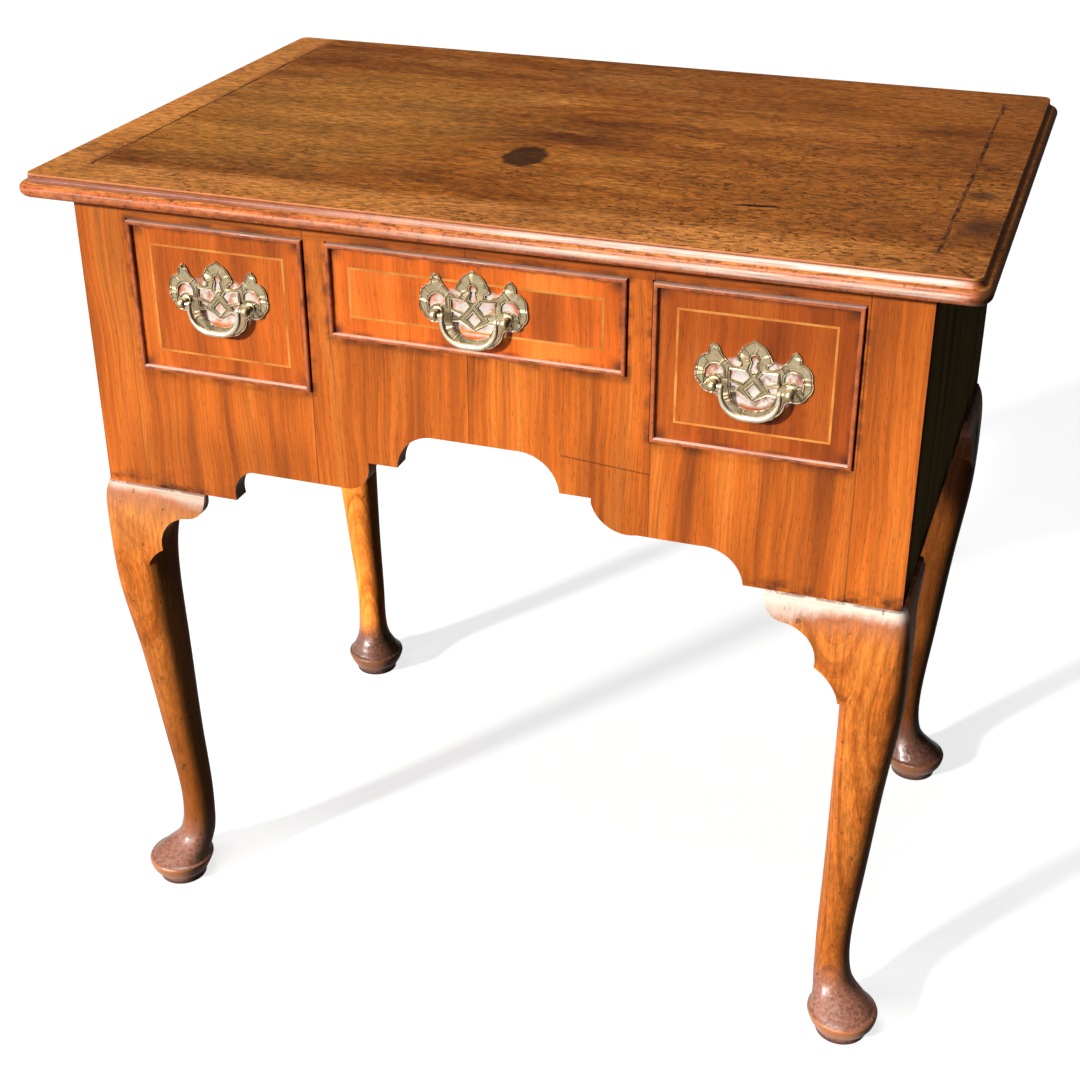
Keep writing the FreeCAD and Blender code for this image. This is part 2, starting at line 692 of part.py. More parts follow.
def make_legs():
    front = dict(ankle_end="ankle_inset", foot_end="foot_inset")
    back = dict(ankle_end="ankle_inset", foot_end="back_foot_inset")
    legs = {
        "left": make_leg("leg_front_left", -1, -1, "ankle_inset", foot_in="foot_inset", **front),
        "right": make_leg("leg_front_right", 1, -1, "ankle_inset", foot_in="foot_inset", **front),
        "back_left": make_leg("leg_back_left", -1, 1, "back_left_ankle_inset",
                              foot_in="back_left_foot_inset", **back),
        "back_right": make_leg("leg_back_right", 1, 1, "ankle_inset", foot_in="foot_inset", **back),
    }
    make_front_ear("ear_front_left", -1, legs["left"], "ear_reach_left")
    make_front_ear("ear_front_right", 1, legs["right"], "ear_reach_right")
    make_side_ear("ear_side_front_left", -1, -1, legs["left"], "side_ear_reach")
    make_side_ear("ear_side_front_right", 1, -1, legs["right"], "side_ear_reach")
    make_side_ear("ear_side_back_left", -1, 1, legs["back_left"], "side_ear_reach")
    make_side_ear("ear_side_back_right", 1, 1, legs["back_right"], "side_ear_reach")


# ---------------------------------------------------------------- drawers

def shrink(pair, by):
    return f"{pair[0]}+({by})", f"{pair[1]}-({by})"


def make_drawer(which, lift):
    """One drawer: front, bead, inlaid line, box, and a handle at lift above its lower edge."""
    name = f"drawer_{which}"
    x, z = (shrink(pair, "drawer_gap") for pair in opening(which))
    field = f"({FRONT}+field_setback)"
    bead_back = f"({field}+bead_depth)"
    behind = f"({field}+front_thickness)"
    inner = shrink(x, "bead_width"), shrink(z, "bead_width")
    line_out = shrink(x, "drawer_line_inset"), shrink(z, "drawer_line_inset")
    line_in = tuple(shrink(pair, "drawer_line_width") for pair in line_out)
    line = keep(frame_ring(f"{name}_line", line_out, line_in, (field, f"{field}+line_depth")),
                f"{name}_stringing")
    middle = f"((({x[0]})+({x[1]}))/2)"
    pivot_z = f"({z[0]}+{lift})"
    posts = [f"({middle}-post_spacing/2)", f"({middle}+post_spacing/2)"]
    bores = [rod(f"{name}_bore_{i}", "y", px, f"{field}-1", pivot_z, "shank_radius+shank_clearance",
                 "front_thickness+2") for i, px in enumerate(posts)]
    board = fuse(f"{name}_board", box(f"{name}_face", inner[0], (field, bead_back), inner[1]),
                 box(f"{name}_rear", x, (bead_back, behind), z))
    keep(cut(f"{name}_front_cut", board, line, *bores), f"{name}_front")

    square = frame_ring(f"{name}_bead_square", (x, z), inner, (f"{FRONT}-bead_proud", bead_back))
    square.recompute(True)
    nose = doc.addObject("Part::Fillet", f"{name}_bead_round")
    nose.Base = square
    edge_y = number(f"{FRONT}-bead_proud")
    picked = []
    for index, edge in enumerate(square.Shape.Edges, start=1):
        if all(abs(v.Point.y - edge_y) < 0.001 for v in edge.Vertexes):
            picked.append((index, number("bead_round"), number("bead_round")))
    nose.Edges = picked
    keep(nose, f"{name}_bead")

    # the box, dovetailed behind the front
    low = f"({z[0]})"
    high = f"({OPEN_TOP}-box_headroom)"
    end = f"({behind}+box_depth)"
    box_x = shrink(x, "box_inset")
    side_z = (low, high)
    keep(box(f"{name}_wall_left", (box_x[0], f"{box_x[0]}+box_side"), (behind, end), side_z), f"{name}_side_left")
    keep(box(f"{name}_wall_right", (f"{box_x[1]}-box_side", box_x[1]), (behind, end), side_z),
         f"{name}_side_right")
    inside = shrink(box_x, "box_side")
    floor = (f"{low}+bottom_lift", f"{low}+bottom_lift+box_bottom")
    keep(box(f"{name}_floor", inside, (behind, end), floor), f"{name}_bottom")
    keep(box(f"{name}_end", inside, (f"{end}-box_side", end), (floor[1], f"{high}-box_back_drop")), f"{name}_back")
    place_handle(name, middle, field, pivot_z)


# ---------------------------------------------------------------- handles

# The handles are alike. Each piece is made once, about the middle of its two posts at the face of the
# drawer's front, and a copy stands on each drawer.
masters = {}
POST_X = ("-post_spacing/2", "post_spacing/2")
BALL_REACH = 0.75  # the ball's centre to its root, over its radius
BALL_END = 0.6614  # the root's radius over the ball's
BALL_BULGE = 0.3455  # rise over chord of the ball's arc, from pole to root
PIVOT_Y = "-pivot_standoff"


def place_handle(name, x, y, z):
    for piece in ("backplate", "posts", "nuts", "bail"):
        copy = compound(f"{name}_{piece}_copy", masters[piece])
        for key, text in (("x", x), ("y", y), ("z", z)):
            bind(copy, f"Placement.Base.{key}", text)
        keep(copy, f"{name}_{piece}")


def make_posts():
    """Turned posts with ball heads, each with a square nut behind the front."""
    shapes, nuts = [], []
    tail = "(front_thickness+nut_thickness+shank_tail)"
    root = f"({PIVOT_Y}+ball_radius*{BALL_REACH})"
    collar = "(-plate_thickness-collar_length)"
    for index, px in enumerate(POST_X):
        body = new_body(f"post_{index}")
        profile = [
            (tail, "0"), (f"{PIVOT_Y}-ball_radius", "0"), (root, f"ball_radius*{BALL_END}", -BALL_BULGE),
            (f"{root}+post_step", "neck_radius"), (f"{collar}-post_step", "neck_radius"),
            (collar, "collar_radius"), ("-plate_thickness", "collar_radius"),
            ("-plate_thickness", "shank_radius"), (tail, "shank_radius"),
        ]
        sketch = sketch_on(body, f"post_{index}_profile", "YZ_Plane", px, [profile])
        turn = body.newObject("PartDesign::Revolution", f"post_{index}_turn")
        turn.Profile = (sketch, [""])
        turn.ReferenceAxis = (sketch, ["Edge1"])
        turn.Angle = 360
        bore = rod(f"pin_bore_{index}", "x", f"{px}-ball_radius-1", PIVOT_Y, "0",
                   "bail_pin_radius+bail_pin_clearance", "2*ball_radius+2")
        shapes.append(cut(f"post_{index}_cut", body, bore))
        half = "nut_size/2"
        block = box(f"nut_{index}_block", (f"{px}-{half}", f"{px}+{half}"),
                    ("front_thickness", "front_thickness+nut_thickness"), (f"-{half}", half))
        hole = rod(f"nut_{index}_hole", "y", px, "front_thickness-1", "0", "shank_radius", "nut_thickness+2")
        nuts.append(cut(f"nut_{index}", block, hole))
    masters["posts"] = compound("post_pair", *shapes)
    masters["nuts"] = compound("nut_pair", *nuts)


def make_bail():
    """A bail that hangs between the posts on a pin at each end."""
    left = f"({POST_X[0]}+ball_radius+bail_gap+bail_knuckle_radius)"
    right = f"({POST_X[1]}-ball_radius-bail_gap-bail_knuckle_radius)"
    low = "(-bail_drop)"
    body = new_body("bail_body")
    route = sketch_on(body, "bail_route", "XZ_Plane", f"-({PIVOT_Y})")
    open_trace(route, [
        (left, "0"), (left, f"{low}+bail_bend"), (f"{left}+bail_bend", low, QUARTER),
        (f"{right}-bail_bend", low), (right, f"{low}+bail_bend", QUARTER), (right, "0"),
    ])
    ends = [sketch_on(body, f"bail_end_{word}", "XY_Plane", "0", (), [(x, PIVOT_Y, "bail_end_radius")])
            for word, x in (("left", left), ("right", right))]
    belly = sketch_on(body, "bail_belly", "YZ_Plane", "0", (), [(PIVOT_Y, low, "bail_radius")])
    sweep = body.newObject("PartDesign::AdditivePipe", "bail_sweep")
    sweep.Profile = (ends[0], [""])
    sweep.Transformation = "Multisection"
    sweep.Sections = [(belly, [""]), (ends[1], [""])]
    sweep.Spine = (route, [f"Edge{i + 1}" for i in range(5)])
    inner = "ball_radius*0.6"
    pins = [
        rod("bail_pin_left", "x", f"{POST_X[0]}-{inner}", PIVOT_Y, "0", "bail_pin_radius",
            f"{left}-({POST_X[0]}-{inner})"),
        rod("bail_pin_right", "x", right, PIVOT_Y, "0", "bail_pin_radius", f"({POST_X[1]}+{inner})-({right})"),
    ]
    knuckles = []
    for word, x in (("left", left), ("right", right)):
        ball = doc.addObject("Part::Sphere", f"bail_knuckle_{word}")
        bind(ball, "Radius", "bail_knuckle_radius")
        bind(ball, "Placement.Base.x", x)
        bind(ball, "Placement.Base.y", PIVOT_Y)
        knuckles.append(ball)
    masters["bail"] = fuse("bail_whole", body, *pins, *knuckles)


def open_trace(sketch, corners):
    """Draws an open run of lines and arcs, as trace does."""
    count = len(corners) - 1
    points = [FreeCAD.Vector(number(c[0]), number(c[1]), 0) for c in corners]
    shapes, ends, radii = [], [], []
    for i in range(count):
        a, b = points[i], points[i + 1]
        target = corners[i + 1]
        if len(target) < 3:
            shapes.append(Part.LineSegment(a, b))
            ends.append((1, 2))
            continue
        bulge = target[2]
        chord = b - a
        factor = (0.25 + bulge * bulge) / (2 * bulge)
        radius = chord.Length * factor
        left = FreeCAD.Vector(-chord.y, chord.x, 0).normalize()
        centre = (a + b) * 0.5 + left * (radius - bulge * chord.Length)
        start = math.atan2(a.y - centre.y, a.x - centre.x)
        stop = math.atan2(b.y - centre.y, b.x - centre.x)
        if stop < start:
            stop += 2 * math.pi
        shapes.append(Part.ArcOfCircle(Part.Circle(centre, FreeCAD.Vector(0, 0, 1), radius), start, stop))
        ends.append((1, 2))
        run = f"(({target[0]})-({corners[i][0]}))"
        rise = f"(({target[1]})-({corners[i][1]}))"
        radii.append((i, radius, f"sqrt({run}*{run}+{rise}*{rise})*{factor:.6f}"))
    sketch.addGeometry(shapes)
    rules, texts = [], []
    for i in range(count):
        if i:
            rules.append(Sketcher.Constraint("Coincident", i - 1, 2, i, 1))
            texts.append(None)
        rules.append(Sketcher.Constraint("DistanceX", i, 1, points[i].x))
        texts.append(corners[i][0])
        rules.append(Sketcher.Constraint("DistanceY", i, 1, points[i].y))
        texts.append(corners[i][1])
    rules.append(Sketcher.Constraint("DistanceX", count - 1, 2, points[count].x))
    texts.append(corners[count][0])
    rules.append(Sketcher.Constraint("DistanceY", count - 1, 2, points[count].y))
    texts.append(corners[count][1])
    for index, radius, text in radii:
        rules.append(Sketcher.Constraint("Radius", index, radius))
        texts.append(text)
    bind_rules(sketch, rules, texts)


def mirrored(half):
    """A closed outline from its right half, which runs from the top middle to the bottom middle."""
    whole = [half[0] + half[1][2:]] + half[1:]
    for index in range(len(half) - 2, 0, -1):
        u, v = half[index][:2]
        whole.append((-u, v) + half[index + 1][2:])
    return whole


# Right half of the willow backplate, and its piercings, in millimetres from the middle of the two posts.
PLATE_HALF = [
    (0, 35.6), (4.9, 32.2, 0.04), (10.4, 26.8, -0.09), (12.6, 23.2, 0.05), (14.0, 19.6, 0.06),
    (10.2, 16.8, -0.12), (11.2, 13.9, 0.25), (15.8, 14.7, 0.12), (21.2, 18.8, 0.1), (26.0, 25.4, 0.08),
    (29.2, 29.4, -0.12), (31.8, 28.8, -0.3), (34.6, 24.6, -0.08), (35.2, 21.2, 0.1), (43.4, 8.4, -0.2),
    (40.6, -3.6, -0.17), (31.2, -9.8, -0.16), (26.0, -10.4, 0.1), (23.8, -14.0, 0.15), (18.2, -22.4, -0.1),
    (9.8, -26.8, -0.1), (0, -28.0, -0.06),
]
KEYHOLE = [(-1.7, 18.4, 0), (1.7, 18.4, -1.5), (3.1, 11.8), (-3.1, 11.8, -0.25)]
LOZENGE = [(0, 1.8), (-5.5, -4.2), (0, -10.2), (5.5, -4.2)]
CRESCENT = [
    (0, -13.2), (-11.0, -6.6), (-16.6, -7.4), (-9.8, -17.6, 0.12), (9.8, -17.6, 0.13), (16.6, -7.4, 0.12),
    (11.0, -6.6),
]
SIDE_PIERCINGS = [
    [(22.4, 4.8, 0.2), (22.6, 9.6), (29.8, 14.0, -0.16), (36.6, 5.0, -0.2), (36.2, 1.0)],
    [(3.4, 6.4), (6.6, 10.6), (17.8, 10.8), (17.8, 3.6), (7.9, 0.9)],
    [(10.4, -1.4), (17.4, 0.9), (17.4, -4.8), (12.6, -4.4)],
]


def make_backplate():
    """A pierced brass plate of the willow kind."""
    def place(points, side=1):
        placed = []
        for u, v, *bulge in points:
            where = (f"{side * u:.2f}*plate_scale", f"{v:.2f}*plate_scale")
            placed.append(where + tuple(side * b for b in bulge))
        return placed

    loops = [place(mirrored(PLATE_HALF)), place(KEYHOLE), place(LOZENGE), place(CRESCENT)]
    for points in SIDE_PIERCINGS:
        loops += [place(points), place(points, -1)]
    rings = [(px, "0", "shank_radius+shank_clearance") for px in POST_X]
    masters["backplate"] = front_plate("willow_plate", ("-plate_thickness", "0"), loops, rings)


# ---------------------------------------------------------------- build

make_top()
make_front()
make_carcass()
make_legs()
make_backplate()
make_posts()
make_bail()
make_drawer("left", "left_handle_lift")
make_drawer("centre", "centre_handle_lift")
make_drawer("right", "right_handle_lift")
doc.recompute()

bad = [item.Name for item in doc.Objects if "Invalid" in item.State or "Error" in item.State]
for item in nodes:
    if item.Shape.isNull() or not item.Shape.isValid() or not item.Shape.Solids:
        bad.append(item.Label)
if bad:
    raise RuntimeError("not built: " + ", ".join(bad))

os.makedirs("parts", exist_ok=True)
for item in nodes:
    item.Shape.exportStep(os.path.join("parts", item.Label + ".step"))
print(len(nodes), "sub-parts written")
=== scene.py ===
import json
import math

import bmesh
import bpy
from mathutils import Matrix, Vector

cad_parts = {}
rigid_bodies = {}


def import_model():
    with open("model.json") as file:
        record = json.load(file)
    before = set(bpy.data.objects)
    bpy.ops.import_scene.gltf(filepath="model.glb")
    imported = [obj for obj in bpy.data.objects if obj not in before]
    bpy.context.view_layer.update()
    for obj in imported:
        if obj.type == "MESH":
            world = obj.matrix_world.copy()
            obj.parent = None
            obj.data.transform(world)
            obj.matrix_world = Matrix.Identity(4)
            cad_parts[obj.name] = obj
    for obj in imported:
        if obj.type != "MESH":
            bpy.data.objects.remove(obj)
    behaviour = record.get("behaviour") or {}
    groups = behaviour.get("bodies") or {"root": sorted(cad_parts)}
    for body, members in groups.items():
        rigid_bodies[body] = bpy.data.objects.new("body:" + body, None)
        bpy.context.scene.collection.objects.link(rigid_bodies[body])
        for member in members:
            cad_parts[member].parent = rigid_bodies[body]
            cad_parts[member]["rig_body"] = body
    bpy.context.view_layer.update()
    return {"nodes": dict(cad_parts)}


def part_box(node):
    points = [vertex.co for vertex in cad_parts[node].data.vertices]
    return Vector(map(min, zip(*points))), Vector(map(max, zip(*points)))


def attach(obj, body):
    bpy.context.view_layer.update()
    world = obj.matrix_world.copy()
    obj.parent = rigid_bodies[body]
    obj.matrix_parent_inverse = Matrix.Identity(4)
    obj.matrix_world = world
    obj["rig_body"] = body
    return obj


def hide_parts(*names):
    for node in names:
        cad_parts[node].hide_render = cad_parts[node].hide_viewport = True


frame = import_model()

# A walnut lowboy with three drawers, shaped apron and cabriole legs.
# Metres, the front faces -Y, the floor is at z = 0.

nodes = frame["nodes"]
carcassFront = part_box("front_veneer")[0].y
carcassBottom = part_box("front_veneer")[0].z
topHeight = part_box("top_board")[1].z
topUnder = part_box("top_board")[0].z


# the finishes are written as sums, in which a Value is the output of a shader node

class Value:
    def __init__(self, tree, socket):
        self.tree, self.socket = tree, socket

    def __add__(self, other):
        return calc("ADD", self, other)

    def __radd__(self, other):
        return calc("ADD", other, self)

    def __sub__(self, other):
        return calc("SUBTRACT", self, other)

    def __rsub__(self, other):
        return calc("SUBTRACT", other, self)

    def __mul__(self, other):
        return calc("MULTIPLY", self, other)

    def __truediv__(self, other):
        return calc("DIVIDE", self, other)

    def __gt__(self, other):
        return calc("GREATER_THAN", self, other)

    def __lt__(self, other):
        return calc("LESS_THAN", self, other)

    def __abs__(self):
        return calc("ABSOLUTE", self)


class Place:
    # a new material, and where a point of the piece lies in it
    def __init__(self, name):
        self.material = bpy.data.materials.new(name)
        self.material.use_nodes = True
        self.tree = self.material.node_tree
        self.point = Value(self.tree, addNode(self.tree, "TexCoord").outputs["Object"])
        self.x, self.y, self.z = parts(self.point)


def plug(value, socket):
    if isinstance(value, Value):
        value.tree.links.new(value.socket, socket)
    else:
        socket.default_value = value


def addNode(tree, kind, inputs=None, **settings):
    node = tree.nodes.new("ShaderNode" + kind)
    for key, value in settings.items():
        setattr(node, key, value)
    for key, value in (inputs or {}).items():
        plug(value, node.inputs[key])
    return node


def treeOf(*values):
    return next(value.tree for value in values if isinstance(value, Value))


def calc(operation, *values):
    tree = treeOf(*values)
    node = addNode(tree, "Math", operation=operation)
    for socket, value in zip(node.inputs, values):
        plug(value, socket)
    return Value(tree, node.outputs[0])


def most(first, second):
    return calc("MAXIMUM", first, second)


def distance(x, y):
    return calc("SQRT", x * x + y * y)


def parts(where):
    split = addNode(where.tree, "SeparateXYZ", {"Vector": where})
    return [Value(where.tree, socket) for socket in split.outputs]


def facing(at):
    # the direction of the surface
    return parts(Value(at.tree, addNode(at.tree, "TexCoord").outputs["Normal"]))


def vector(tree, x, y, z):
    return Value(tree, addNode(tree, "CombineXYZ", {"X": x, "Y": y, "Z": z}).outputs[0])


def noise(where, detail, roughness=0.5, distortion=0.0):
    node = addNode(where.tree, "TexNoise", {"Vector": where, "Scale": 1.0, "Detail": detail, "Roughness": roughness,
                                            "Distortion": distortion})
    return Value(where.tree, node.outputs[0])


def spots(at, size, detail, roughness=0.5, distortion=0.0, move=(0, 0, 0)):
    where = at.point if isinstance(at, Place) else at
    stretched = addNode(at.tree, "Mapping", {"Vector": where, "Location": move, "Scale": size})
    return noise(Value(at.tree, stretched.outputs[0]), detail, roughness, distortion)


def between(value, low, high, start=0.0, end=1.0):
    node = addNode(value.tree, "MapRange", {"Value": value, "From Min": low, "From Max": high, "To Min": start,
                                            "To Max": end}, interpolation_type="SMOOTHSTEP")
    return Value(value.tree, node.outputs[0])


def near(base, steps):
    return [base + step for step in steps]


def tint(amount, below, above, way="MIX"):
    tree = treeOf(amount, below, above)
    node = addNode(tree, "Mix", data_type="RGBA", blend_type=way)
    for value, place in ((amount, 0), (below, 6), (above, 7)):
        plug(value, node.inputs[place])
    return Value(tree, node.outputs[2])


def shaded(colour, amount):
    return tint(1.0, colour, vector(colour.tree, amount, amount, amount), "MULTIPLY")


def ramp(value, *stops):
    node = addNode(value.tree, "ValToRGB", {"Fac": value})
    elements = node.color_ramp.elements
    elements[0].position, elements[0].color = stops[0]
    elements[1].position, elements[1].color = stops[-1]
    for place, colour in stops[1:-1]:
        elements.new(place).color = colour
    return Value(value.tree, node.outputs[0])


def paint(red, green, blue):
    return (red, green, blue, 1.0)


def setShader(at, settings):
    for key, value in settings.items():
        plug(value, at.tree.nodes["Principled BSDF"].inputs[key])


def finishShader(at, look, colour, rough, height, others=None):
    bump = addNode(at.tree, "Bump", {"Height": height, "Distance": look["relief"], "Strength": 1.0})
    setShader(at, {"Base Color": colour, "Roughness": between(rough, *look["roughness"]),
                   "Normal": Value(at.tree, bump.outputs[0]), **(others or {"Specular IOR Level": look["shine"]})})
    return at.material


# In the dictionaries a row that begins with a size sets a noise: size, detail, roughness, distortion, move.
# Other rows of two or four numbers set where a mark begins and is full, and the two amounts that go with them.

# walnut: grain runs along u, across v; w goes into the wood

grainLook = {
    "bendDetail": 2.0, "details": (3.0, 4.0, 3.0, 1.0), "roughness": 0.6, "pore": (110.0, 1300.0),
    "poreRange": (0.60, 0.72), "figure": (0.30, 0.5, 0.68), "dark": (0.50, 0.72), "pale": (0.46, 0.26),
    "paleShare": 0.45, "threads": (0.3, 0.7), "threadsTop": 1.12, "relief": 0.25,
}


def grain(u, v, w, look):
    # slow bend of the grain, then figure, streaks, fibres and pores drawn out along it
    along, over, bend = look["bend"]
    drift = noise(vector(u.tree, u * along, v * over, w), grainLook["bendDetail"])
    across = v + (drift - 0.5) * bend
    layers = []
    sizes = (look["figure"], look["streak"], look["fibre"], grainLook["pore"])
    for (along, over), detail in zip(sizes, grainLook["details"]):
        layers.append(noise(vector(u.tree, u * along, across * over, w), detail, grainLook["roughness"]))
    layers[3] = between(layers[3], *grainLook["poreRange"])
    return layers


def woodColour(layers, look):
    figure, streak, fibre, pore = layers
    colour = ramp(figure, *zip(grainLook["figure"], (look["deep"], look["middle"], look["light"])))
    colour = tint(between(streak, *grainLook["dark"]) * look["streaks"], colour, look["deep"])
    colour = tint(between(streak, *grainLook["pale"]) * grainLook["paleShare"], colour, look["light"])
    colour = shaded(colour, between(fibre, *grainLook["threads"], look["threads"], grainLook["threadsTop"]))
    return tint(pore * look["pores"], colour, look["dirt"])


def grainHeight(layers):
    return layers[2] * grainLook["relief"] - layers[3]


veneerLook = {
    "deep": paint(0.37, 0.078, 0.010), "middle": paint(0.74, 0.160, 0.016), "light": paint(0.90, 0.245, 0.034),
    "dirt": paint(0.040, 0.013, 0.006), "bend": (5.0, 9.0, 0.026), "figure": (2.2, 38.0), "streak": (3.6, 150.0),
    "fibre": (10.0, 430.0), "streaks": 0.62, "threads": 0.80, "pores": 0.34,
}
drawers = {
    "left": {"tone": 1.04, "red": 0.92}, "centre": {"tone": 1.36, "red": 0.88}, "right": {"tone": 0.72, "red": 0.86},
}
for word, drawer in drawers.items():
    low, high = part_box(f"drawer_{word}_bead")
    drawer["middle"] = (low + high) / 2
    drawer["half"] = (high - low) / 2


def edgeGap(at, drawer):
    # how far inside the outline of a drawer a point lies, negative outside
    middle, half = drawer["middle"], drawer["half"]
    return half.x - abs(at.x - middle.x), half.z - abs(at.z - middle.z)


frontLook = {
    "leafJoints": (-0.141, -0.006, 0.142, 0.2985), "leafStep": 3.7, "joint": (0.0007, 0.0002),
    "patch": (0.070, 0.142, 0.521, 0.526), "patchJoint": (0.0009, 0.0003), "jointDirt": 0.6,
    "railStart": 0.6775, "railHalf": 0.2985, "railSeed": 8.3, "railTone": 0.8,
    "clouds": ((9.0, 9.0, 3.0), 2.0), "cloudTones": (0.3, 0.7, 0.80, 1.14),
    "dullRight": (-0.13, -0.16), "dullLeft": (-0.335, -0.29), "dullTop": (0.53, 0.47), "dullTone": 0.76,
    "roundDrawer": (0.0085, 0.0012), "drawerDirt": 0.75, "lowEdge": (0.020, 0.001), "lowFrom": (0.20, 0.26),
    "blotch": ((42.0, 42.0, 70.0), 4.0, 0.65), "blotches": (0.40, 0.64), "dirt": 0.92,
    "shadow": (-0.0055, -0.0005), "shadowDirt": 0.8, "cut": (0.0002, 0.0006), "cutShade": paint(0.020, 0.008, 0.004),
    "roughness": (0.3, 0.7, 0.34, 0.48), "relief": 0.00010, "shine": 0.28,
}


def makeFrontWalnut():
    at = Place("frontWalnut")
    look, wood = frontLook, veneerLook
    # the front is laid in leaves; each starts afresh at its joint
    leaf = 0.0
    for place in look["leafJoints"]:
        leaf = leaf + (at.x > place)
    layers = grain(at.z, at.x, leaf * look["leafStep"], wood)
    colour = woodColour(layers, wood)
    # rail over the drawers, with its grain along it
    rail = woodColour(grain(at.x, at.z, look["railSeed"], wood), wood)
    onRail = (at.z > look["railStart"]) * (abs(at.x) < look["railHalf"])
    colour = tint(onRail, colour, shaded(rail, look["railTone"]))
    # slow clouds, and a duller place low at the left
    colour = shaded(colour, between(spots(at, *look["clouds"]), *look["cloudTones"]))
    dull = between(at.x, *look["dullRight"]) * between(at.x, *look["dullLeft"]) * between(at.z, *look["dullTop"])
    colour = shaded(colour, between(dull, 0.0, 1.0, 1.0, look["dullTone"]))
    # dirt that has gathered round the drawers and along the lower edge
    dirt = 0.0
    for drawer in drawers.values():
        out = calc("MINIMUM", *edgeGap(at, drawer)) * -1.0
        dirt = most(dirt, between(out, *look["roundDrawer"]))
    low = between(at.z, *near(carcassBottom, look["lowEdge"])) * between(abs(at.x), *look["lowFrom"])
    dirt = most(dirt * look["drawerDirt"], low) * between(spots(at, *look["blotch"]), *look["blotches"])
    # shadow line under the moulding
    dirt = most(dirt, between(at.z, *near(topUnder, look["shadow"]), 0.0, look["shadowDirt"]))
    # joints between the leaves, and along the upper side of a let-in patch
    seam = 0.0
    for place in look["leafJoints"]:
        seam = most(seam, between(abs(at.x - place), *look["joint"]))
    left, right, down, upTo = look["patch"]
    share = (at.x - left) / (right - left)
    slant = upTo + share * (down - upTo)
    patch = between(abs(at.z - slant), *look["patchJoint"]) * (share > 0.0) * (share < 1.0)
    colour = tint(most(seam, patch) * look["jointDirt"], colour, wood["dirt"])
    # the dirt and the painted shadow line under the moulding are tinted in together
    colour = tint(dirt * look["dirt"], colour, wood["dirt"])
    # painted shade: the cut edges of the veneer and of the openings are tinted near black
    colour = tint(between(at.y, *near(carcassFront, look["cut"])), colour, look["cutShade"])
    return finishShader(at, look, colour, layers[1], grainHeight(layers))


drawerLook = {
    "wood": dict(veneerLook, streaks=0.30, figure=(2.2, 24.0), threads=0.86), "seeds": (20, 2.0), "borderSeed": 5.0,
    "border": 0.0184, "polish": ((150.0, 150.0, 150.0), 4.0, 0.65), "polishShare": (0.62, 0.46, 0.25, 0.95),
    "polishEdge": (1.0, 0.80), "polishWide": 0.90, "polishTall": 0.66, "polishDrop": 0.07,
    "polishColour": paint(0.90, 0.80, 0.72), "blotch": ((48.0, 48.0, 48.0), 4.0, 0.7),
    "rim": (0.0080, 0.0036), "rimDirt": 0.75, "rimBlotches": (0.36, 0.66), "cornerX": (0.019, 0.004),
    "cornerZ": (0.018, 0.004), "cornerBlotches": (0.25, 0.52), "line": (0.0046, 0.0036, 0.0, 0.45), "dirt": 0.94,
    "roughness": (0.3, 0.7, 0.34, 0.46), "relief": 0.00008, "shine": 0.28,
}


def makeDrawerWalnut(word, drawer):
    at = Place(f"{word}DrawerWalnut")
    look, wood = drawerLook, drawerLook["wood"]
    gapX, gapZ = edgeGap(at, drawer)
    inside = calc("MINIMUM", gapX, gapZ)
    step, first = look["seeds"]
    seed = drawer["middle"].x * step + first
    layers = grain(at.z, at.x, seed, wood)
    colour = woodColour(layers, wood)
    border = woodColour(grain(at.z, at.x, seed + look["borderSeed"], wood), wood)
    colour = tint(inside < look["border"], colour, border)
    tone = drawer["tone"]
    colour = tint(1.0, colour, paint(tone, tone * drawer["red"], tone * drawer["red"]), "MULTIPLY")
    # dried metal polish behind the pierced plate
    low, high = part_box(f"drawer_{word}_backplate")
    plate, wide, tall = (low + high) / 2, (high.x - low.x) / 2, (high.z - low.z) / 2
    around = distance((at.x - plate.x) / (wide * look["polishWide"]),
                      (at.z - (plate.z - tall * look["polishDrop"])) / (tall * look["polishTall"]))
    polish = between(spots(at, *look["polish"], move=(seed, 0, 0)), *look["polishShare"])
    colour = tint(between(around, *look["polishEdge"]) * polish, colour, look["polishColour"])
    # dark wax in the angle of the bead, thickest in the corners
    blotch = spots(at, *look["blotch"])
    rim = between(inside, *look["rim"]) * look["rimDirt"] * between(blotch, *look["rimBlotches"])
    corner = between(gapX, *look["cornerX"]) * between(gapZ, *look["cornerZ"])
    dirt = most(rim, corner * between(blotch, *look["cornerBlotches"]))
    # a thin dark line just inside the bead, dirt and painted shade together
    dirt = most(dirt, between(inside, *look["line"]))
    colour = tint(dirt * look["dirt"], colour, wood["dirt"])
    return finishShader(at, look, colour, layers[1], grainHeight(layers))


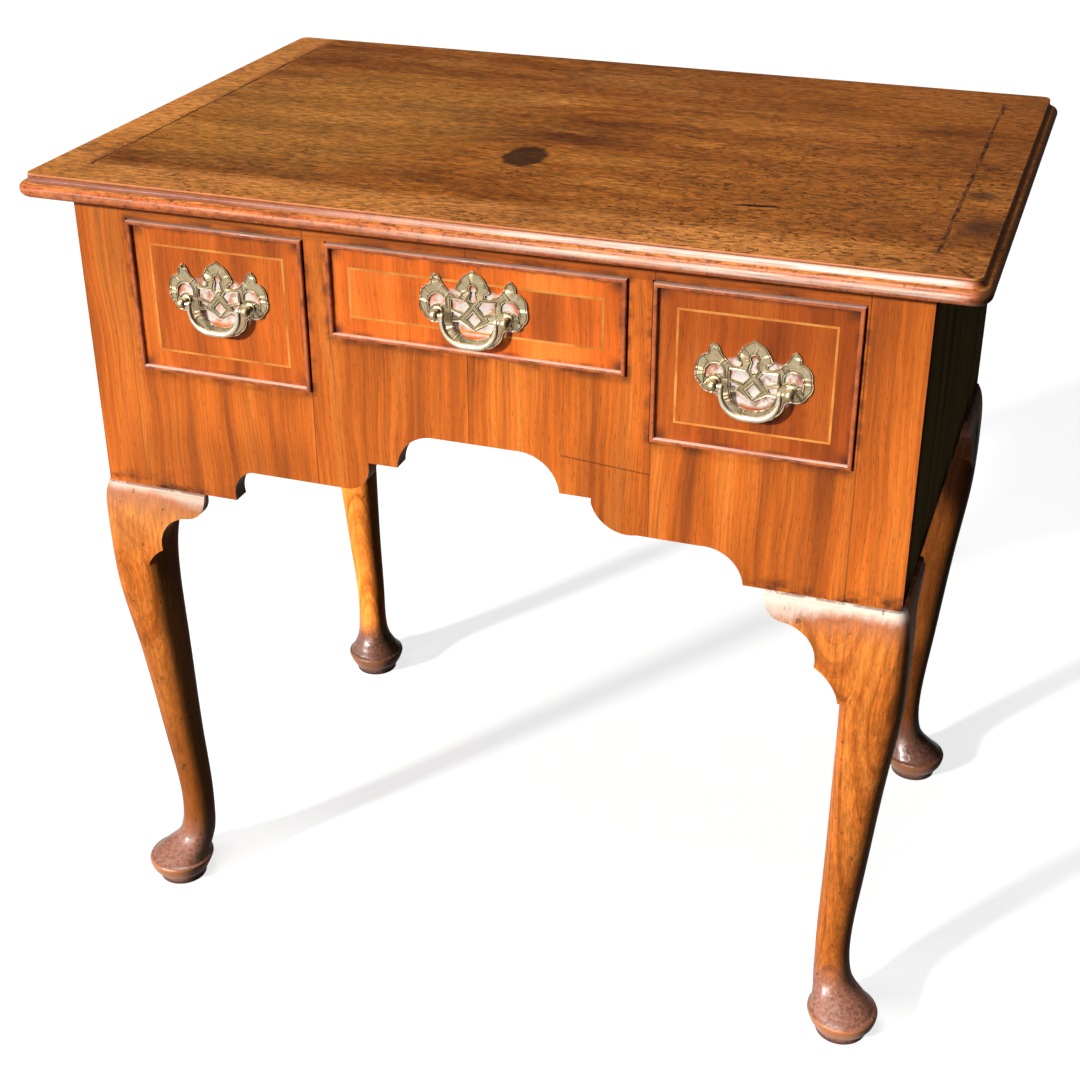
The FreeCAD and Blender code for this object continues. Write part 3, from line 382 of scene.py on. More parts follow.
topLook = {
    "deep": paint(0.140, 0.032, 0.004), "middle": paint(0.390, 0.112, 0.012), "light": paint(0.570, 0.205, 0.034),
    "dirt": paint(0.026, 0.009, 0.004), "bend": (3.4, 8.0, 0.060), "figure": (4.6, 19.0), "streak": (16.0, 95.0),
    "fibre": (42.0, 330.0), "streaks": 0.46, "threads": 0.66, "pores": 0.40, "seed": 1.3,
    "ripple": ((24.0, 46.0, 1.0), 3.0, 0.6), "rippleDeep": 0.011,
    "cloud": ((3.4, 5.4, 1.0), 3.0, 0.55, 0.4), "clouds": (0.50, 0.66), "cloudShare": (-0.20, 0.05, 0.10, 0.30),
    "cloudColour": paint(0.20, 0.055, 0.012), "mist": ((9.0, 12.0, 1.0), 3.0, 0.6, 0.3, (7, 3, 0)),
    "sunned": (-0.200, -0.015, 0.19, 0.19), "sunnedEdge": (1.15, 0.45), "sunnedShare": 0.46,
    "sunnedColour": paint(0.44, 0.188, 0.036), "dark": ((6.0, 13.0, 1.0), 4.0, 0.62, 0.0, (3, 1, 0)),
    "darks": (0.53, 0.70), "darkShare": (-0.20, 0.05, 0.10, 0.40),
    "dullRight": (0.28, 0.37, 0.0, 0.22), "dullBack": (0.06, 0.22, 0.0, 0.20), "warmFrom": (0.02, 0.22),
    "warmMist": (0.30, 0.60, 0.3, 0.8), "warmShare": 0.55, "warmColour": paint(0.46, 0.150, 0.026),
    "rimLeft": (-0.330, -0.348), "rimFront": (-0.190, -0.214), "rimFade": (0.36, 0.25, 0.35, 1.0),
    "rimMist": (0.25, 0.60, 0.35, 1.0), "rimShare": 0.70, "rimColour": paint(0.72, 0.270, 0.062),
    "fine": ((120.0, 380.0, 1.0), 4.0, 0.7, 0.0, (0, 5, 0)), "fineTones": (0.30, 0.70, 0.50, 1.46),
    "short": ((52.0, 420.0, 1.0), 3.0, 0.6, 0.5), "shorts": (0.57, 0.65), "shortShare": 0.62,
    "larger": ((24.0, 200.0, 1.0), 3.0, 0.62, 0.6, (1, 8, 0)), "largers": (0.60, 0.69), "largerShare": 0.75,
    "curl": ((84.0, 160.0, 1.0), 3.0, 0.62, 2.0, (2, 4, 0)), "curls": (0.550, 0.605),
    "gather": ((8.0, 12.0, 1.0), 3.0, 0.6, 0.0, (5, 2, 0)), "toward": (0.58, -1.05), "gathered": (0.50, 0.76),
    "fleckShare": 0.74, "ragged": ((60.0, 60.0, 1.0), 3.0, 0.6), "raggedEdge": 0.7,
    "burns": ((0.349, -0.066, 0.016, 0.013), (0.360, -0.140, 0.020, 0.026)), "burnEdge": (1.3, 0.2),
    "burnShare": 0.72, "burnColour": paint(0.040, 0.016, 0.010),
    "stain": (-0.0127, -0.0782, 0.019, 0.030), "stainEdge": (1.10, 0.78), "stainShare": 0.90,
    "stainColour": paint(0.026, 0.009, 0.003), "hair": ((-0.374, -0.170), (-0.020, -0.1285), 0.0008, 0.0004),
    "hairBreaks": (0.40, 0.55, 0.25, 0.9), "hairShare": 0.75,
    "crack": ((0.173, -0.1465), (0.214, -0.1405), 0.0005, 0.0022), "crackColour": paint(0.006, 0.003, 0.002),
    "crackDeep": 3.0, "lineX": 0.3375, "lineBack": 0.2098, "lineWander": 0.0022, "lineEdge": (0.0016, 0.0006),
    "lineBreak": ((20.0, 36.0, 1.0), 4.0), "lineBreaks": (0.42, 0.58, 0.10, 1.0), "lineShare": 0.9,
    "haze": ((9.0, 9.0, 9.0), 3.0), "roughness": (0.35, 0.65, 0.28, 0.42), "relief": 0.00012, "shine": 0.15,
}


def strokeOnTop(at, start, end, width, bow):
    # how strongly a thin bowed line from start to end marks a point
    (startX, startY), (endX, endY) = start, end
    length = math.hypot(endX - startX, endY - startY)
    unitX, unitY = (endX - startX) / length, (endY - startY) / length
    fromX, fromY = at.x - startX, at.y - startY
    share = (fromX * unitX + fromY * unitY) / length
    off = abs(fromX * unitY - fromY * unitX)
    return between(off - share * (1.0 - share) * (bow * 4), width, -width)


def roundOnTop(at, place, ragged, edge):
    # soft ragged patch: place is its middle and its two half widths
    x, y, halfX, halfY = place
    around = distance((at.x - x) / halfX, (at.y - y) / halfY)
    return between(around + (ragged - 0.5) * topLook["raggedEdge"], *edge)


def makeTopWalnut():
    at = Place("topWalnut")
    look = topLook
    # the grain runs along the top and ripples
    rippled = at.y + (spots(at, *look["ripple"]) - 0.5) * look["rippleDeep"]
    layers = grain(at.x, rippled, look["seed"], look)
    colour = woodColour(layers, look)
    # clouds of darker, greener and deeper brown
    cloud = between(spots(at, *look["cloud"]), *look["clouds"]) * between(at.x, *look["cloudShare"])
    colour = tint(cloud, colour, look["cloudColour"])
    mist = spots(at, *look["mist"])
    sunned = roundOnTop(at, look["sunned"], mist, look["sunnedEdge"])
    colour = tint(sunned * look["sunnedShare"], colour, look["sunnedColour"])
    dark = between(spots(at, *look["dark"]), *look["darks"]) * between(at.x, *look["darkShare"])
    colour = tint(dark, colour, look["deep"])
    # warmer to the right, duller at the right end and the back, lighter on the front and left borders
    warm = between(at.x, *look["warmFrom"]) * between(mist, *look["warmMist"])
    colour = tint(warm * look["warmShare"], colour, look["warmColour"])
    colour = tint(between(at.x, *look["dullRight"]) + between(at.y, *look["dullBack"]), colour, look["deep"])
    rim = most(between(at.x, *look["rimLeft"]), between(at.y, *look["rimFront"]))
    rim = rim * between(at.x, *look["rimFade"]) * between(mist, *look["rimMist"])
    colour = tint(rim * look["rimShare"], colour, look["rimColour"])
    colour = shaded(colour, between(spots(at, *look["fine"]), *look["fineTones"]))
    # short dark flecks along the grain everywhere, curled and thick toward the front right
    fleckPlace = vector(at.tree, at.x, rippled, 0.0)
    fleck = between(spots(fleckPlace, *look["short"]), *look["shorts"]) * look["shortShare"]
    larger = between(spots(fleckPlace, *look["larger"]), *look["largers"])
    fleck = most(fleck, larger * look["largerShare"])
    towardX, towardY = look["toward"]
    gather = spots(at, *look["gather"]) + (at.x * towardX + at.y * towardY)
    curl = between(spots(at, *look["curl"]), *look["curls"]) * between(gather, *look["gathered"])
    fleck = most(fleck, curl)
    colour = tint(fleck * look["fleckShare"], colour, look["dirt"])
    # burns at the right end, a round stain, a long hairline and a crack
    ragged = spots(at, *look["ragged"])
    for place in look["burns"]:
        burn = roundOnTop(at, place, ragged, look["burnEdge"])
        colour = tint(burn * look["burnShare"], colour, look["burnColour"])
    stain = roundOnTop(at, look["stain"], ragged, look["stainEdge"])
    colour = tint(stain * look["stainShare"], colour, look["stainColour"])
    hair = strokeOnTop(at, *look["hair"]) * between(ragged, *look["hairBreaks"])
    colour = tint(hair * look["hairShare"], colour, look["dirt"])
    crack = strokeOnTop(at, *look["crack"])
    colour = tint(crack, colour, look["crackColour"])
    # dark groove along the inlaid line at the two ends
    off = abs(at.x) - look["lineX"] + (ragged - 0.5) * look["lineWander"]
    groove = between(abs(off), *look["lineEdge"]) * between(spots(at, *look["lineBreak"]), *look["lineBreaks"])
    colour = tint(groove * (abs(at.y) < look["lineBack"]) * look["lineShare"], colour, look["dirt"])
    height = grainHeight(layers) - (fleck + crack * look["crackDeep"])
    return finishShader(at, look, colour, spots(at, *look["haze"]), height)


mouldingLook = {
    "edge": ((16.0, 16.0, 300.0), 4.0, 0.62), "stops": (0.30, 0.50, 0.70),
    "colours": (paint(0.320, 0.066, 0.018), paint(0.620, 0.150, 0.040), paint(0.780, 0.240, 0.080)),
    "mottle": ((110.0, 110.0, 160.0), 4.0, 0.7), "mottleTones": (0.30, 0.70, 0.66, 1.22),
    "underLight": (1.0, 1.4), "under": (0.0060, 0.0010), "speck": ((260.0, 260.0, 380.0), 2.0),
    "specks": (0.60, 0.68), "speckShare": 0.6, "dark": paint(0.060, 0.020, 0.012), "bandFade": 0.4,
    "front": (-0.225, -0.240), "highlightBreak": ((14.0, 14.0, 420.0), 4.0, 0.65, 0.0, (0, 0, 3)),
    "highlightBreaks": (0.34, 0.56, 0.35, 1.0), "highlightFrom": (-0.22, 0.26, 0.08, 1.0), "highlightEnd": (0.372, 0.350),
    "darkBand": (0.0048, 0.0034), "darkFrom": (0.06, -0.26, 0.0, 0.9), "darkMottle": (0.3, 0.6, 0.5, 1.0),
    "darkTone": paint(0.180, 0.052, 0.030), "coveBand": (0.0041, 0.0028), "coveShare": 0.92,
    "coveHighlight": paint(1.0, 0.80, 0.68), "noseBand": (0.0118, 0.0030), "noseShare": 0.84, "nose": paint(1.0, 0.76, 0.62),
    "arris": (-0.0022, -0.0008), "arrisShare": 0.85, "arrisColour": paint(0.84, 0.33, 0.140),
    "bareLeft": (-0.364, -0.372), "bareBack": (0.245, 0.252), "chip": ((60.0, 60.0, 200.0), 4.0, 0.7),
    "chips": (0.42, 0.56), "bare": paint(0.86, 0.66, 0.42), "lineBand": (0.0016, 0.0006), "lineShare": 0.6,
    "low": (0.0012, 0.0002), "lowShare": 0.85, "end": (0.364, 0.376), "endShare": 0.88,
    "endShadeColour": paint(0.075, 0.042, 0.018), "roughness": (0.35, 0.65, 0.24, 0.38), "relief": 0.00016,
    "coatRoughness": 0.20, "shiny": (-0.12, 0.16, 0.18, 1.0), "endDull": 0.96, "shine": 0.40, "coat": 0.14,
}


def makeMouldingWalnut():
    # the moulded edge is a redder, closer wood, worn bright on its arris
    at = Place("mouldingWalnut")
    look = mouldingLook

    def band(down, half):
        return between(abs(at.z - (topHeight - down)), half, half * look["bandFade"])

    colour = ramp(spots(at, *look["edge"]), *zip(look["stops"], look["colours"]))
    mottle = spots(at, *look["mottle"])
    colour = shaded(colour, between(mottle, *look["mottleTones"]))
    # painted light: lighter toward the underside of the nose, up to 1.4 times
    colour = shaded(colour, between(at.z, *near(topUnder, look["under"]), *look["underLight"]))
    speck = spots(at, *look["speck"])
    colour = tint(between(speck, *look["specks"]) * look["speckShare"], colour, look["dark"])
    # painted highlights: pale bands in the cove and on the nose, strongest toward the right; darker brown in the cove
    # toward the left end
    front = between(at.y, *look["front"])
    rubbedAndHighlight = between(at.x, *look["highlightFrom"]) * between(at.x, *look["highlightEnd"])
    rubbedAndHighlight = rubbedAndHighlight * between(spots(at, *look["highlightBreak"]), *look["highlightBreaks"]) * front
    darkTone = band(*look["darkBand"]) * front * between(at.x, *look["darkFrom"])
    colour = tint(darkTone * between(mottle, *look["darkMottle"]), colour, look["darkTone"])
    colour = tint(rubbedAndHighlight * band(*look["coveBand"]) * look["coveShare"], colour, look["coveHighlight"])
    colour = tint(rubbedAndHighlight * band(*look["noseBand"]) * look["noseShare"], colour, look["nose"])
    arris = between(at.z, *near(topHeight, look["arris"]))
    colour = tint(arris * look["arrisShare"], colour, look["arrisColour"])
    # bare wood on the arris at the left end and along the back
    bare = arris * most(between(at.x, *look["bareLeft"]), between(at.y, *look["bareBack"]))
    colour = tint(bare * between(spots(at, *look["chip"]), *look["chips"]), colour, look["bare"])
    colour = tint(band(*look["lineBand"]) * look["lineShare"], colour, look["dark"])
    # painted shade: darkened along the lowest edge of the moulding
    low = between(at.z, *near(topUnder, look["low"]))
    colour = tint(low * look["lowShare"], colour, look["dark"])
    # painted shade: the right end is tinted dark brown, and it has no shine
    end = between(at.x, *look["end"])
    colour = tint(end * look["endShare"], colour, look["endShadeColour"])
    shiny = between(at.x, *look["shiny"]) - end * look["endDull"]
    return finishShader(at, look, colour, mottle, mottle + speck,
                        {"Coat Roughness": look["coatRoughness"], "Coat Weight": shiny * look["coat"],
                         "Specular IOR Level": shiny * look["shine"]})


legLook = {
    "deep": paint(0.330, 0.074, 0.010), "middle": paint(0.84, 0.215, 0.028), "light": paint(0.96, 0.320, 0.058),
    "ringStops": (0.32, 0.46, 0.68), "wander": (9.0, 3.5, 2.0), "wanderDeep": 0.022,
    "rings": 640.0, "ringSlice": 0.5, "ringNoise": (3.0, 0.66), "plain": 0.34,
    "curly": ((330.0, 330.0, 110.0), 4.0, 0.7, 0.6), "curlyTones": (0.32, 0.68, 0.76, 1.18),
    "streak": ((120.0, 120.0, 5.0), 4.0, 0.62), "streaks": (0.56, 0.76, 0.0, 0.26),
    "lit": (0.36, 0.42), "litColour": paint(1.0, 0.40, 0.12),
    "fibre": ((480.0, 480.0, 26.0), 3.0, 0.6), "fibreTones": (0.3, 0.7, 0.76, 1.14),
    "patch": ((17.0, 17.0, 7.0), 3.0, 0.6), "patches": (0.3, 0.7), "patchTones": (0.78, 1.14),
    "brownTo": 0.10, "brown": paint(0.200, 0.046, 0.006), "mottle": ((330.0, 330.0, 380.0), 4.0, 0.7),
    "mottles": (0.34, 0.62), "foot": paint(0.470, 0.195, 0.122), "footDeep": paint(0.220, 0.088, 0.056),
    "rimUnder": (0.0050, 0.0080), "rimOver": (0.0240, 0.0212), "rimShare": 0.78, "rim": paint(0.74, 0.235, 0.066),
    "base": (0.0050, 0.0015, 0.0, 0.7), "footTop": (0.076, 0.046), "footRagged": 0.014,
    "dirt": paint(0.035, 0.012, 0.006), "shadeSide": (0.40, 0.92), "shadeSideShare": 0.76,
    "shadeOlive": paint(0.064, 0.052, 0.026), "kneeTop": 0.0004, "reach": 0.022, "dusk": (-0.034, -0.008),
    "duskShare": 0.74, "dusky": paint(0.42, 0.160, 0.090), "dust": ((70.0, 70.0, 70.0), 4.0, 0.7),
    "paleX": (0.235, 0.300), "paleDeep": (2.0, 0.75),
    "scratch": ((420.0, 420.0, 45.0), 3.0, 0.65), "scratchDeep": 0.8, "dustDeep": 1.1, "pale": (1.7, 0.30),
    "paleFront": (0.012, 0.004), "worn": paint(0.92, 0.76, 0.62), "joint": (-0.0014, -0.0005),
    "jointDust": (0.40, 0.52), "jointShare": 0.6, "pit": ((190.0, 190.0, 110.0), 2.0), "pits": (0.68, 0.74),
    "pitShare": 0.55, "fibreRelief": 0.3, "roughness": (0.04, 0.10, 0.28, 0.40), "relief": 0.00012,
    "coatRoughness": 0.32, "shine": (0.10, 0.80, 0.17, 0.01), "coat": (0.085, 0.045, 0.0, 0.9),
    "coatAside": (0.30, 0.90, 1.0, 0.15),
}
legPlans = {
    "leg_front_left": {"heart": (-0.315, -0.14), "tilt": (0.02, 0.05), "seed": 1.0, "tone": 1.22, "brown": 0.72,
                       "brownFrom": 0.46, "foot": 1.0, "lit": 0.45, "wearAndHighlight": 0.55, "pale": 0.006,
                       "ears": ("ear_front_left", "ear_side_front_left")},
    "leg_front_right": {"heart": (0.300, -0.13), "tilt": (0.03, 0.07), "seed": 3.0, "tone": 1.18, "brown": 0.30,
                        "brownFrom": 0.26, "foot": 1.05, "lit": 0.12, "wearAndHighlight": 0.95, "pale": 0.010,
                        "ears": ("ear_front_right", "ear_side_front_right")},
    # painted light: the back left leg has a far higher tone than the others
    "leg_back_left": {"heart": (-0.31, 0.26), "tilt": (0.05, 0.10), "seed": 5.0, "tone": 2.30, "brown": 0.10,
                      "brownFrom": 0.30, "foot": 0.7, "lit": 0.0, "wearAndHighlight": 0.30, "pale": 0.006,
                      "ears": ("ear_side_back_left",)},
    # painted shade: the back right leg has a far lower tone than the others
    "leg_back_right": {"heart": (0.31, 0.26), "tilt": (0.05, 0.10), "seed": 7.0, "tone": 0.34, "brown": 0.30,
                       "brownFrom": 0.34, "foot": 0.6, "lit": 0.0, "wearAndHighlight": 0.30, "pale": 0.006,
                       "ears": ("ear_side_back_right",)},
}


def makeLegWalnut(name, plan):
    # growth rings of a log that stands beside the leg, so that the curves cut them
    at = Place(name + "Walnut")
    look, seed = legLook, plan["seed"]
    (heartX, heartY), (tiltX, tiltY) = plan["heart"], plan["tilt"]
    far = distance(at.x - heartX + at.z * tiltX, at.y - heartY + at.z * tiltY)
    over, along, detail = look["wander"]
    wander = noise(vector(at.tree, at.x * over, at.y * over, at.z * along + seed), detail)
    far = far + wander * look["wanderDeep"]
    rings = noise(vector(at.tree, far * look["rings"], look["ringSlice"], seed), *look["ringNoise"])
    colour = ramp(rings, *zip(look["ringStops"], (look["deep"], look["middle"], look["light"])))
    colour = tint(look["plain"], colour, look["middle"])
    curly = spots(at, *look["curly"], move=(0, 0, seed))
    colour = shaded(colour, between(curly, *look["curlyTones"]))
    streak = spots(at, *look["streak"], move=(seed, 0, 0))
    colour = tint(between(streak, *look["streaks"]), colour, look["deep"])
    # painted light: a bright orange band over the knee, strongest on the front left leg
    colour = tint(between(at.z, *look["lit"], 0.0, plan["lit"]), colour, look["litColour"])
    fibre = spots(at, *look["fibre"])
    colour = shaded(colour, between(fibre, *look["fibreTones"]))
    patch = spots(at, *look["patch"], move=(0, seed, 0))
    tones = [tone * plan["tone"] for tone in look["patchTones"]]
    colour = shaded(colour, between(patch, *look["patches"], *tones))
    # browner below the knee, dark and mottled on the foot
    colour = tint(between(at.z, plan["brownFrom"], look["brownTo"], 0.0, plan["brown"]), colour, look["brown"])
    mottle = spots(at, *look["mottle"])
    foot = tint(between(mottle, *look["mottles"]), look["footDeep"], look["foot"])
    rim = between(at.z, *look["rimUnder"]) * between(at.z, *look["rimOver"])
    foot = tint(rim * look["rimShare"], foot, look["rim"])
    foot = shaded(tint(between(at.z, *look["base"]), foot, look["dirt"]), plan["foot"])
    colour = tint(between(at.z + mottle * look["footRagged"], *look["footTop"]), colour, foot)
    # painted shade: the side of a leg that faces right is tinted dark olive, with less coat and shine
    shadeSide = facing(at)[0]
    colour = tint(between(shadeSide, *look["shadeSide"]) * look["shadeSideShare"], colour, look["shadeOlive"])
    # worn pale along the top of the knee, partly wear and partly a painted highlight, dusky below that, with a dark
    # joint above
    below = at.z < carcassBottom + look["kneeTop"]
    dusky = between((streak - 0.5) * look["reach"] + at.z, *near(carcassBottom, look["dusk"]))
    colour = tint(dusky * below * look["duskShare"], colour, look["dusky"])
    # the pale band, wear with a painted highlight, is deepest on the ear and thins out toward the corner
    dust = spots(at, *look["dust"])
    deep = between(abs(at.x), *look["paleX"], *(plan["pale"] * share for share in look["paleDeep"]))
    down = (carcassBottom - at.z) / deep + (spots(at, *look["scratch"]) - 0.5) * look["scratchDeep"]
    down = down + (dust - 0.5) * look["dustDeep"]
    pale = between(down, *look["pale"]) * between(at.y, *near(carcassFront, look["paleFront"]))
    colour = tint(pale * below * plan["wearAndHighlight"], colour, look["worn"])
    joint = between(at.z, *near(carcassBottom, look["joint"])) * between(dust, *look["jointDust"]) * below
    colour = tint(joint * look["jointShare"], colour, look["dirt"])
    pits = between(spots(at, *look["pit"]), *look["pits"])
    colour = tint(pits * look["pitShare"], colour, look["dirt"])
    coat = between(at.z, *look["coat"]) * between(shadeSide, *look["coatAside"])
    return finishShader(at, look, colour, at.z, fibre * look["fibreRelief"] - pits,
                        {"Coat Roughness": look["coatRoughness"], "Coat Weight": coat,
                         "Specular IOR Level": between(shadeSide, *look["shine"])})


beadLook = {
    "tone": ((55.0, 55.0, 55.0), 4.0, 0.65), "stops": (0.34, 0.5, 0.68),
    "colours": (paint(0.24, 0.054, 0.014), paint(0.54, 0.120, 0.026), paint(0.72, 0.190, 0.046)),
    "top": (0.45, 0.95, 0.0, 0.88), "rubbedAndHighlight": paint(0.92, 0.60, 0.46), "side": (-0.0014, -0.0002),
    "sideUp": (0.9, 0.3), "sideShadeShare": 0.95, "darkTone": paint(0.022, 0.009, 0.005),
    "roughness": (0.35, 0.65, 0.22, 0.38), "relief": 0.00015, "coat": 0.5, "coatRoughness": 0.15,
}


def makeBeadWalnut():
    at = Place("beadWalnut")
    look = beadLook
    tone = spots(at, *look["tone"])
    colour = ramp(tone, *zip(look["stops"], look["colours"]))
    # painted highlight: the top of a bead is tinted pale; painted shade: its outer and inner sides are tinted near
    # black
    up = facing(at)[2]
    colour = tint(between(up, *look["top"]), colour, look["rubbedAndHighlight"])
    side = between(at.y, *near(carcassFront, look["side"])) * between(up, *look["sideUp"])
    colour = tint(side * look["sideShadeShare"], colour, look["darkTone"])
    return finishShader(at, look, colour, tone, tone,
                        {"Coat Weight": look["coat"], "Coat Roughness": look["coatRoughness"]})


lineLook = {
    "tone": ((40.0, 40.0, 40.0), 3.0, 0.6), "stops": (0.3, 0.5, 0.7),
    "colours": (paint(0.62, 0.170, 0.024), paint(0.86, 0.320, 0.060), paint(0.95, 0.440, 0.110)),
    "topDeep": 0.004, "fadedStops": (0.34, 0.50, 0.62),
    "faded": (paint(0.15, 0.045, 0.012), paint(0.42, 0.150, 0.040), paint(0.62, 0.250, 0.080)),
    "backFrom": 0.15, "backShare": 0.5, "back": paint(0.20, 0.065, 0.018), "frontFrom": -0.15,
    "frontFade": (-0.10, 0.22, 0.0, 0.75), "front": paint(0.36, 0.120, 0.026), "endsFrom": 0.334,
    "worn": ((30.0, 60.0, 1.0), 4.0, 0.65), "wornStops": (0.40, 0.62),
    "ends": (paint(0.030, 0.011, 0.005), paint(0.220, 0.065, 0.014)),
    "roughness": (0.3, 0.7, 0.34, 0.48), "relief": 0.00008, "shine": 0.3,
}


def makeStringing():
    at = Place("stringing")
    look = lineLook
    tone = spots(at, *look["tone"])
    colour = ramp(tone, *zip(look["stops"], look["colours"]))
    # the line of the top is faded and dirty, nearly black at the two ends
    onTop = at.z > topHeight - look["topDeep"]
    colour = tint(onTop, colour, ramp(tone, *zip(look["fadedStops"], look["faded"])))
    colour = tint(onTop * (at.y > look["backFrom"]) * look["backShare"], colour, look["back"])
    front = onTop * (at.y < look["frontFrom"]) * between(at.x, *look["frontFade"])
    colour = tint(front, colour, look["front"])
    worn = ramp(spots(at, *look["worn"]), *zip(look["wornStops"], look["ends"]))
    colour = tint(onTop * (abs(at.x) > look["endsFrom"]), colour, worn)
    return finishShader(at, look, colour, tone, tone)


# painted shade: the side veneers are a dark olive brown, far darker than the front
sideLook = {
    "wood": dict(veneerLook, deep=paint(0.140, 0.094, 0.038), middle=paint(0.290, 0.200, 0.088),
                 light=paint(0.400, 0.280, 0.130)),
    "seedStep": 4.0, "blotch": ((20.0, 20.0, 20.0), 4.0, 0.65), "blotches": (0.35, 0.6), "rim": (0.10, 0.128),
    "roughness": (0.3, 0.7, 0.42, 0.58), "relief": 0.00012, "shine": 0.0,
}


def makeSideWalnut():
    at = Place("sideWalnut")
    look, wood = sideLook, sideLook["wood"]
    layers = grain(at.z, at.y, (at.x > 0.0) * look["seedStep"], wood)
    colour = woodColour(layers, wood)
    blotch = spots(at, *look["blotch"])
    rim = between(abs(at.z - (topUnder + carcassBottom) / 2), *look["rim"])
    colour = tint(rim * between(blotch, *look["blotches"]), colour, wood["dirt"])
    return finishShader(at, look, colour, blotch, grainHeight(layers))


plainLook = {
    "oak": (paint(0.22, 0.125, 0.06), paint(0.36, 0.22, 0.11), paint(0.07, 0.045, 0.025)),
    "pine": (paint(0.26, 0.135, 0.055), paint(0.40, 0.23, 0.10), paint(0.06, 0.035, 0.018)),
    "fibre": (180.0, 7.0), "fibreNoise": (4.0, 0.6), "fibreTones": (0.3, 0.7, 0.78, 1.12), "band": (34.0, 2.6),
    "bandNoise": (3.0, 0.6), "stops": (0.34, 0.66), "grime": ((8.0, 8.0, 8.0), 5.0, 0.7),
    "grimes": (0.46, 0.72, 0.0, 0.5), "roughness": (0.3, 0.7, 0.6, 0.8), "relief": 0.0003, "shine": 0.3,
}


def makePlainWood(name, wood, axis):
    # bare wood with its grain along one axis
    at = Place(name)
    look = plainLook
    deep, light, dust = look[wood]

    def drawnOut(sizes, settings):
        over, along = sizes
        return spots(at, [along if place == axis else over for place in range(3)], *settings)

    fibre = drawnOut(look["fibre"], look["fibreNoise"])
    colour = ramp(drawnOut(look["band"], look["bandNoise"]), *zip(look["stops"], (deep, light)))
    colour = shaded(colour, between(fibre, *look["fibreTones"]))
    colour = tint(between(spots(at, *look["grime"]), *look["grimes"]), colour, dust)
    return finishShader(at, look, colour, fibre, fibre)


brassLook = {
    "plain": paint(0.72, 0.58, 0.36), "dull": paint(0.40, 0.30, 0.155), "rubbedAndHighlight": paint(0.90, 0.82, 0.64),
    "grime": paint(0.055, 0.038, 0.018), "metal": 0.72, "tarnish": ((130.0, 130.0, 130.0), 5.0, 0.7),
    "spot": ((420.0, 420.0, 420.0), 3.0, 0.6), "spots": (0.60, 0.72, 0.0, 0.6), "shadeSide": (0.25, 0.85, 0.0, 0.92),
    "roughness": (0.35, 0.6, 0.46, 0.28), "spotRelief": 0.4, "relief": 0.00022,
    # bright and dull colour, and how softly they meet
    "brass": ("plain", "dull", 0.14), "rubbedBrass": ("rubbedAndHighlight", "plain", 0.10), "grimyBrass": ("dull", "grime", 0.16),
}


def makeBrass(name, plain, dull, spread):
    at = Place(name)
    look = brassLook
    tarnish = spots(at, *look["tarnish"])
    colour = ramp(tarnish, (0.5 - spread, look[dull]), (0.5 + spread, look[plain]))
    spot = spots(at, *look["spot"])
    colour = tint(between(spot, *look["spots"]), colour, look["grime"])
    # painted shade: faces that look to the right are tinted with the grime colour
    colour = tint(between(facing(at)[0], *look["shadeSide"]), colour, look["grime"])
    return finishShader(at, look, colour, tarnish, tarnish + spot * look["spotRelief"], {"Metallic": look["metal"]})


print("making finishes")
finishes = {
    "front": makeFrontWalnut(), "top": makeTopWalnut(), "moulding": makeMouldingWalnut(), "bead": makeBeadWalnut(),
    "line": makeStringing(), "side": makeSideWalnut(),
    "brass": makeBrass("oldBrass", *brassLook["brass"]),
}
for name in ("rubbedBrass", "grimyBrass"):
    finishes[name] = makeBrass(name, *brassLook[name])
for wood in ("oak", "pine"):
    finishes[wood + "Across"] = makePlainWood(wood + "Across", wood, 0)
    finishes[wood + "Deep"] = makePlainWood(wood + "Deep", wood, 1)
for word, drawer in drawers.items():
    finishes[word] = makeDrawerWalnut(word, drawer)
for name, plan in legPlans.items():
    finishes[name] = makeLegWalnut(name, plan)

carcassFinish = {
    "top": ["top_board"], "line": ["top_stringing"], "front": ["front_veneer"],
    "side": ["side_veneer_left", "side_veneer_right"], "oakAcross": ["apron_board", "top_rail", "drawer_stops"],
    "oakDeep": ["drawer_divider_left", "drawer_divider_right", "drawer_runners", "drawer_kickers"],
    "pineAcross": ["back_board"], "pineDeep": ["side_board_left", "side_board_right", "glue_blocks"],
}
drawerFinish = {
    "bead": ["bead"], "line": ["stringing"], "brass": ["backplate", "posts", "bail"], "grimyBrass": ["nuts"],
    "oakAcross": ["bottom", "back"], "oakDeep": ["side_left", "side_right"],
}
nodeFinish = {name: finish for finish, names in carcassFinish.items() for name in names}
for name, plan in legPlans.items():
    nodeFinish.update(dict.fromkeys((name, *plan["ears"]), name))
for word in drawers:
    nodeFinish[f"drawer_{word}_front"] = word
    for finish, names in drawerFinish.items():
        nodeFinish.update({f"drawer_{word}_{name}": finish for name in names})
for name, node in nodes.items():
    node.data.materials.clear()
    node.data.materials.append(finishes[nodeFinish[name]])


# pieces worked up from merged copies of the nodes

workLook = {"merge": 0.00001, "beadCrease": 35.0, "postsCrease": 32.0, "bailCrease": 40.0}


def copyNode(name):
    shape = bmesh.new()
    shape.from_mesh(nodes[name].data)
    bmesh.ops.remove_doubles(shape, verts=shape.verts, dist=workLook["merge"])
    return shape


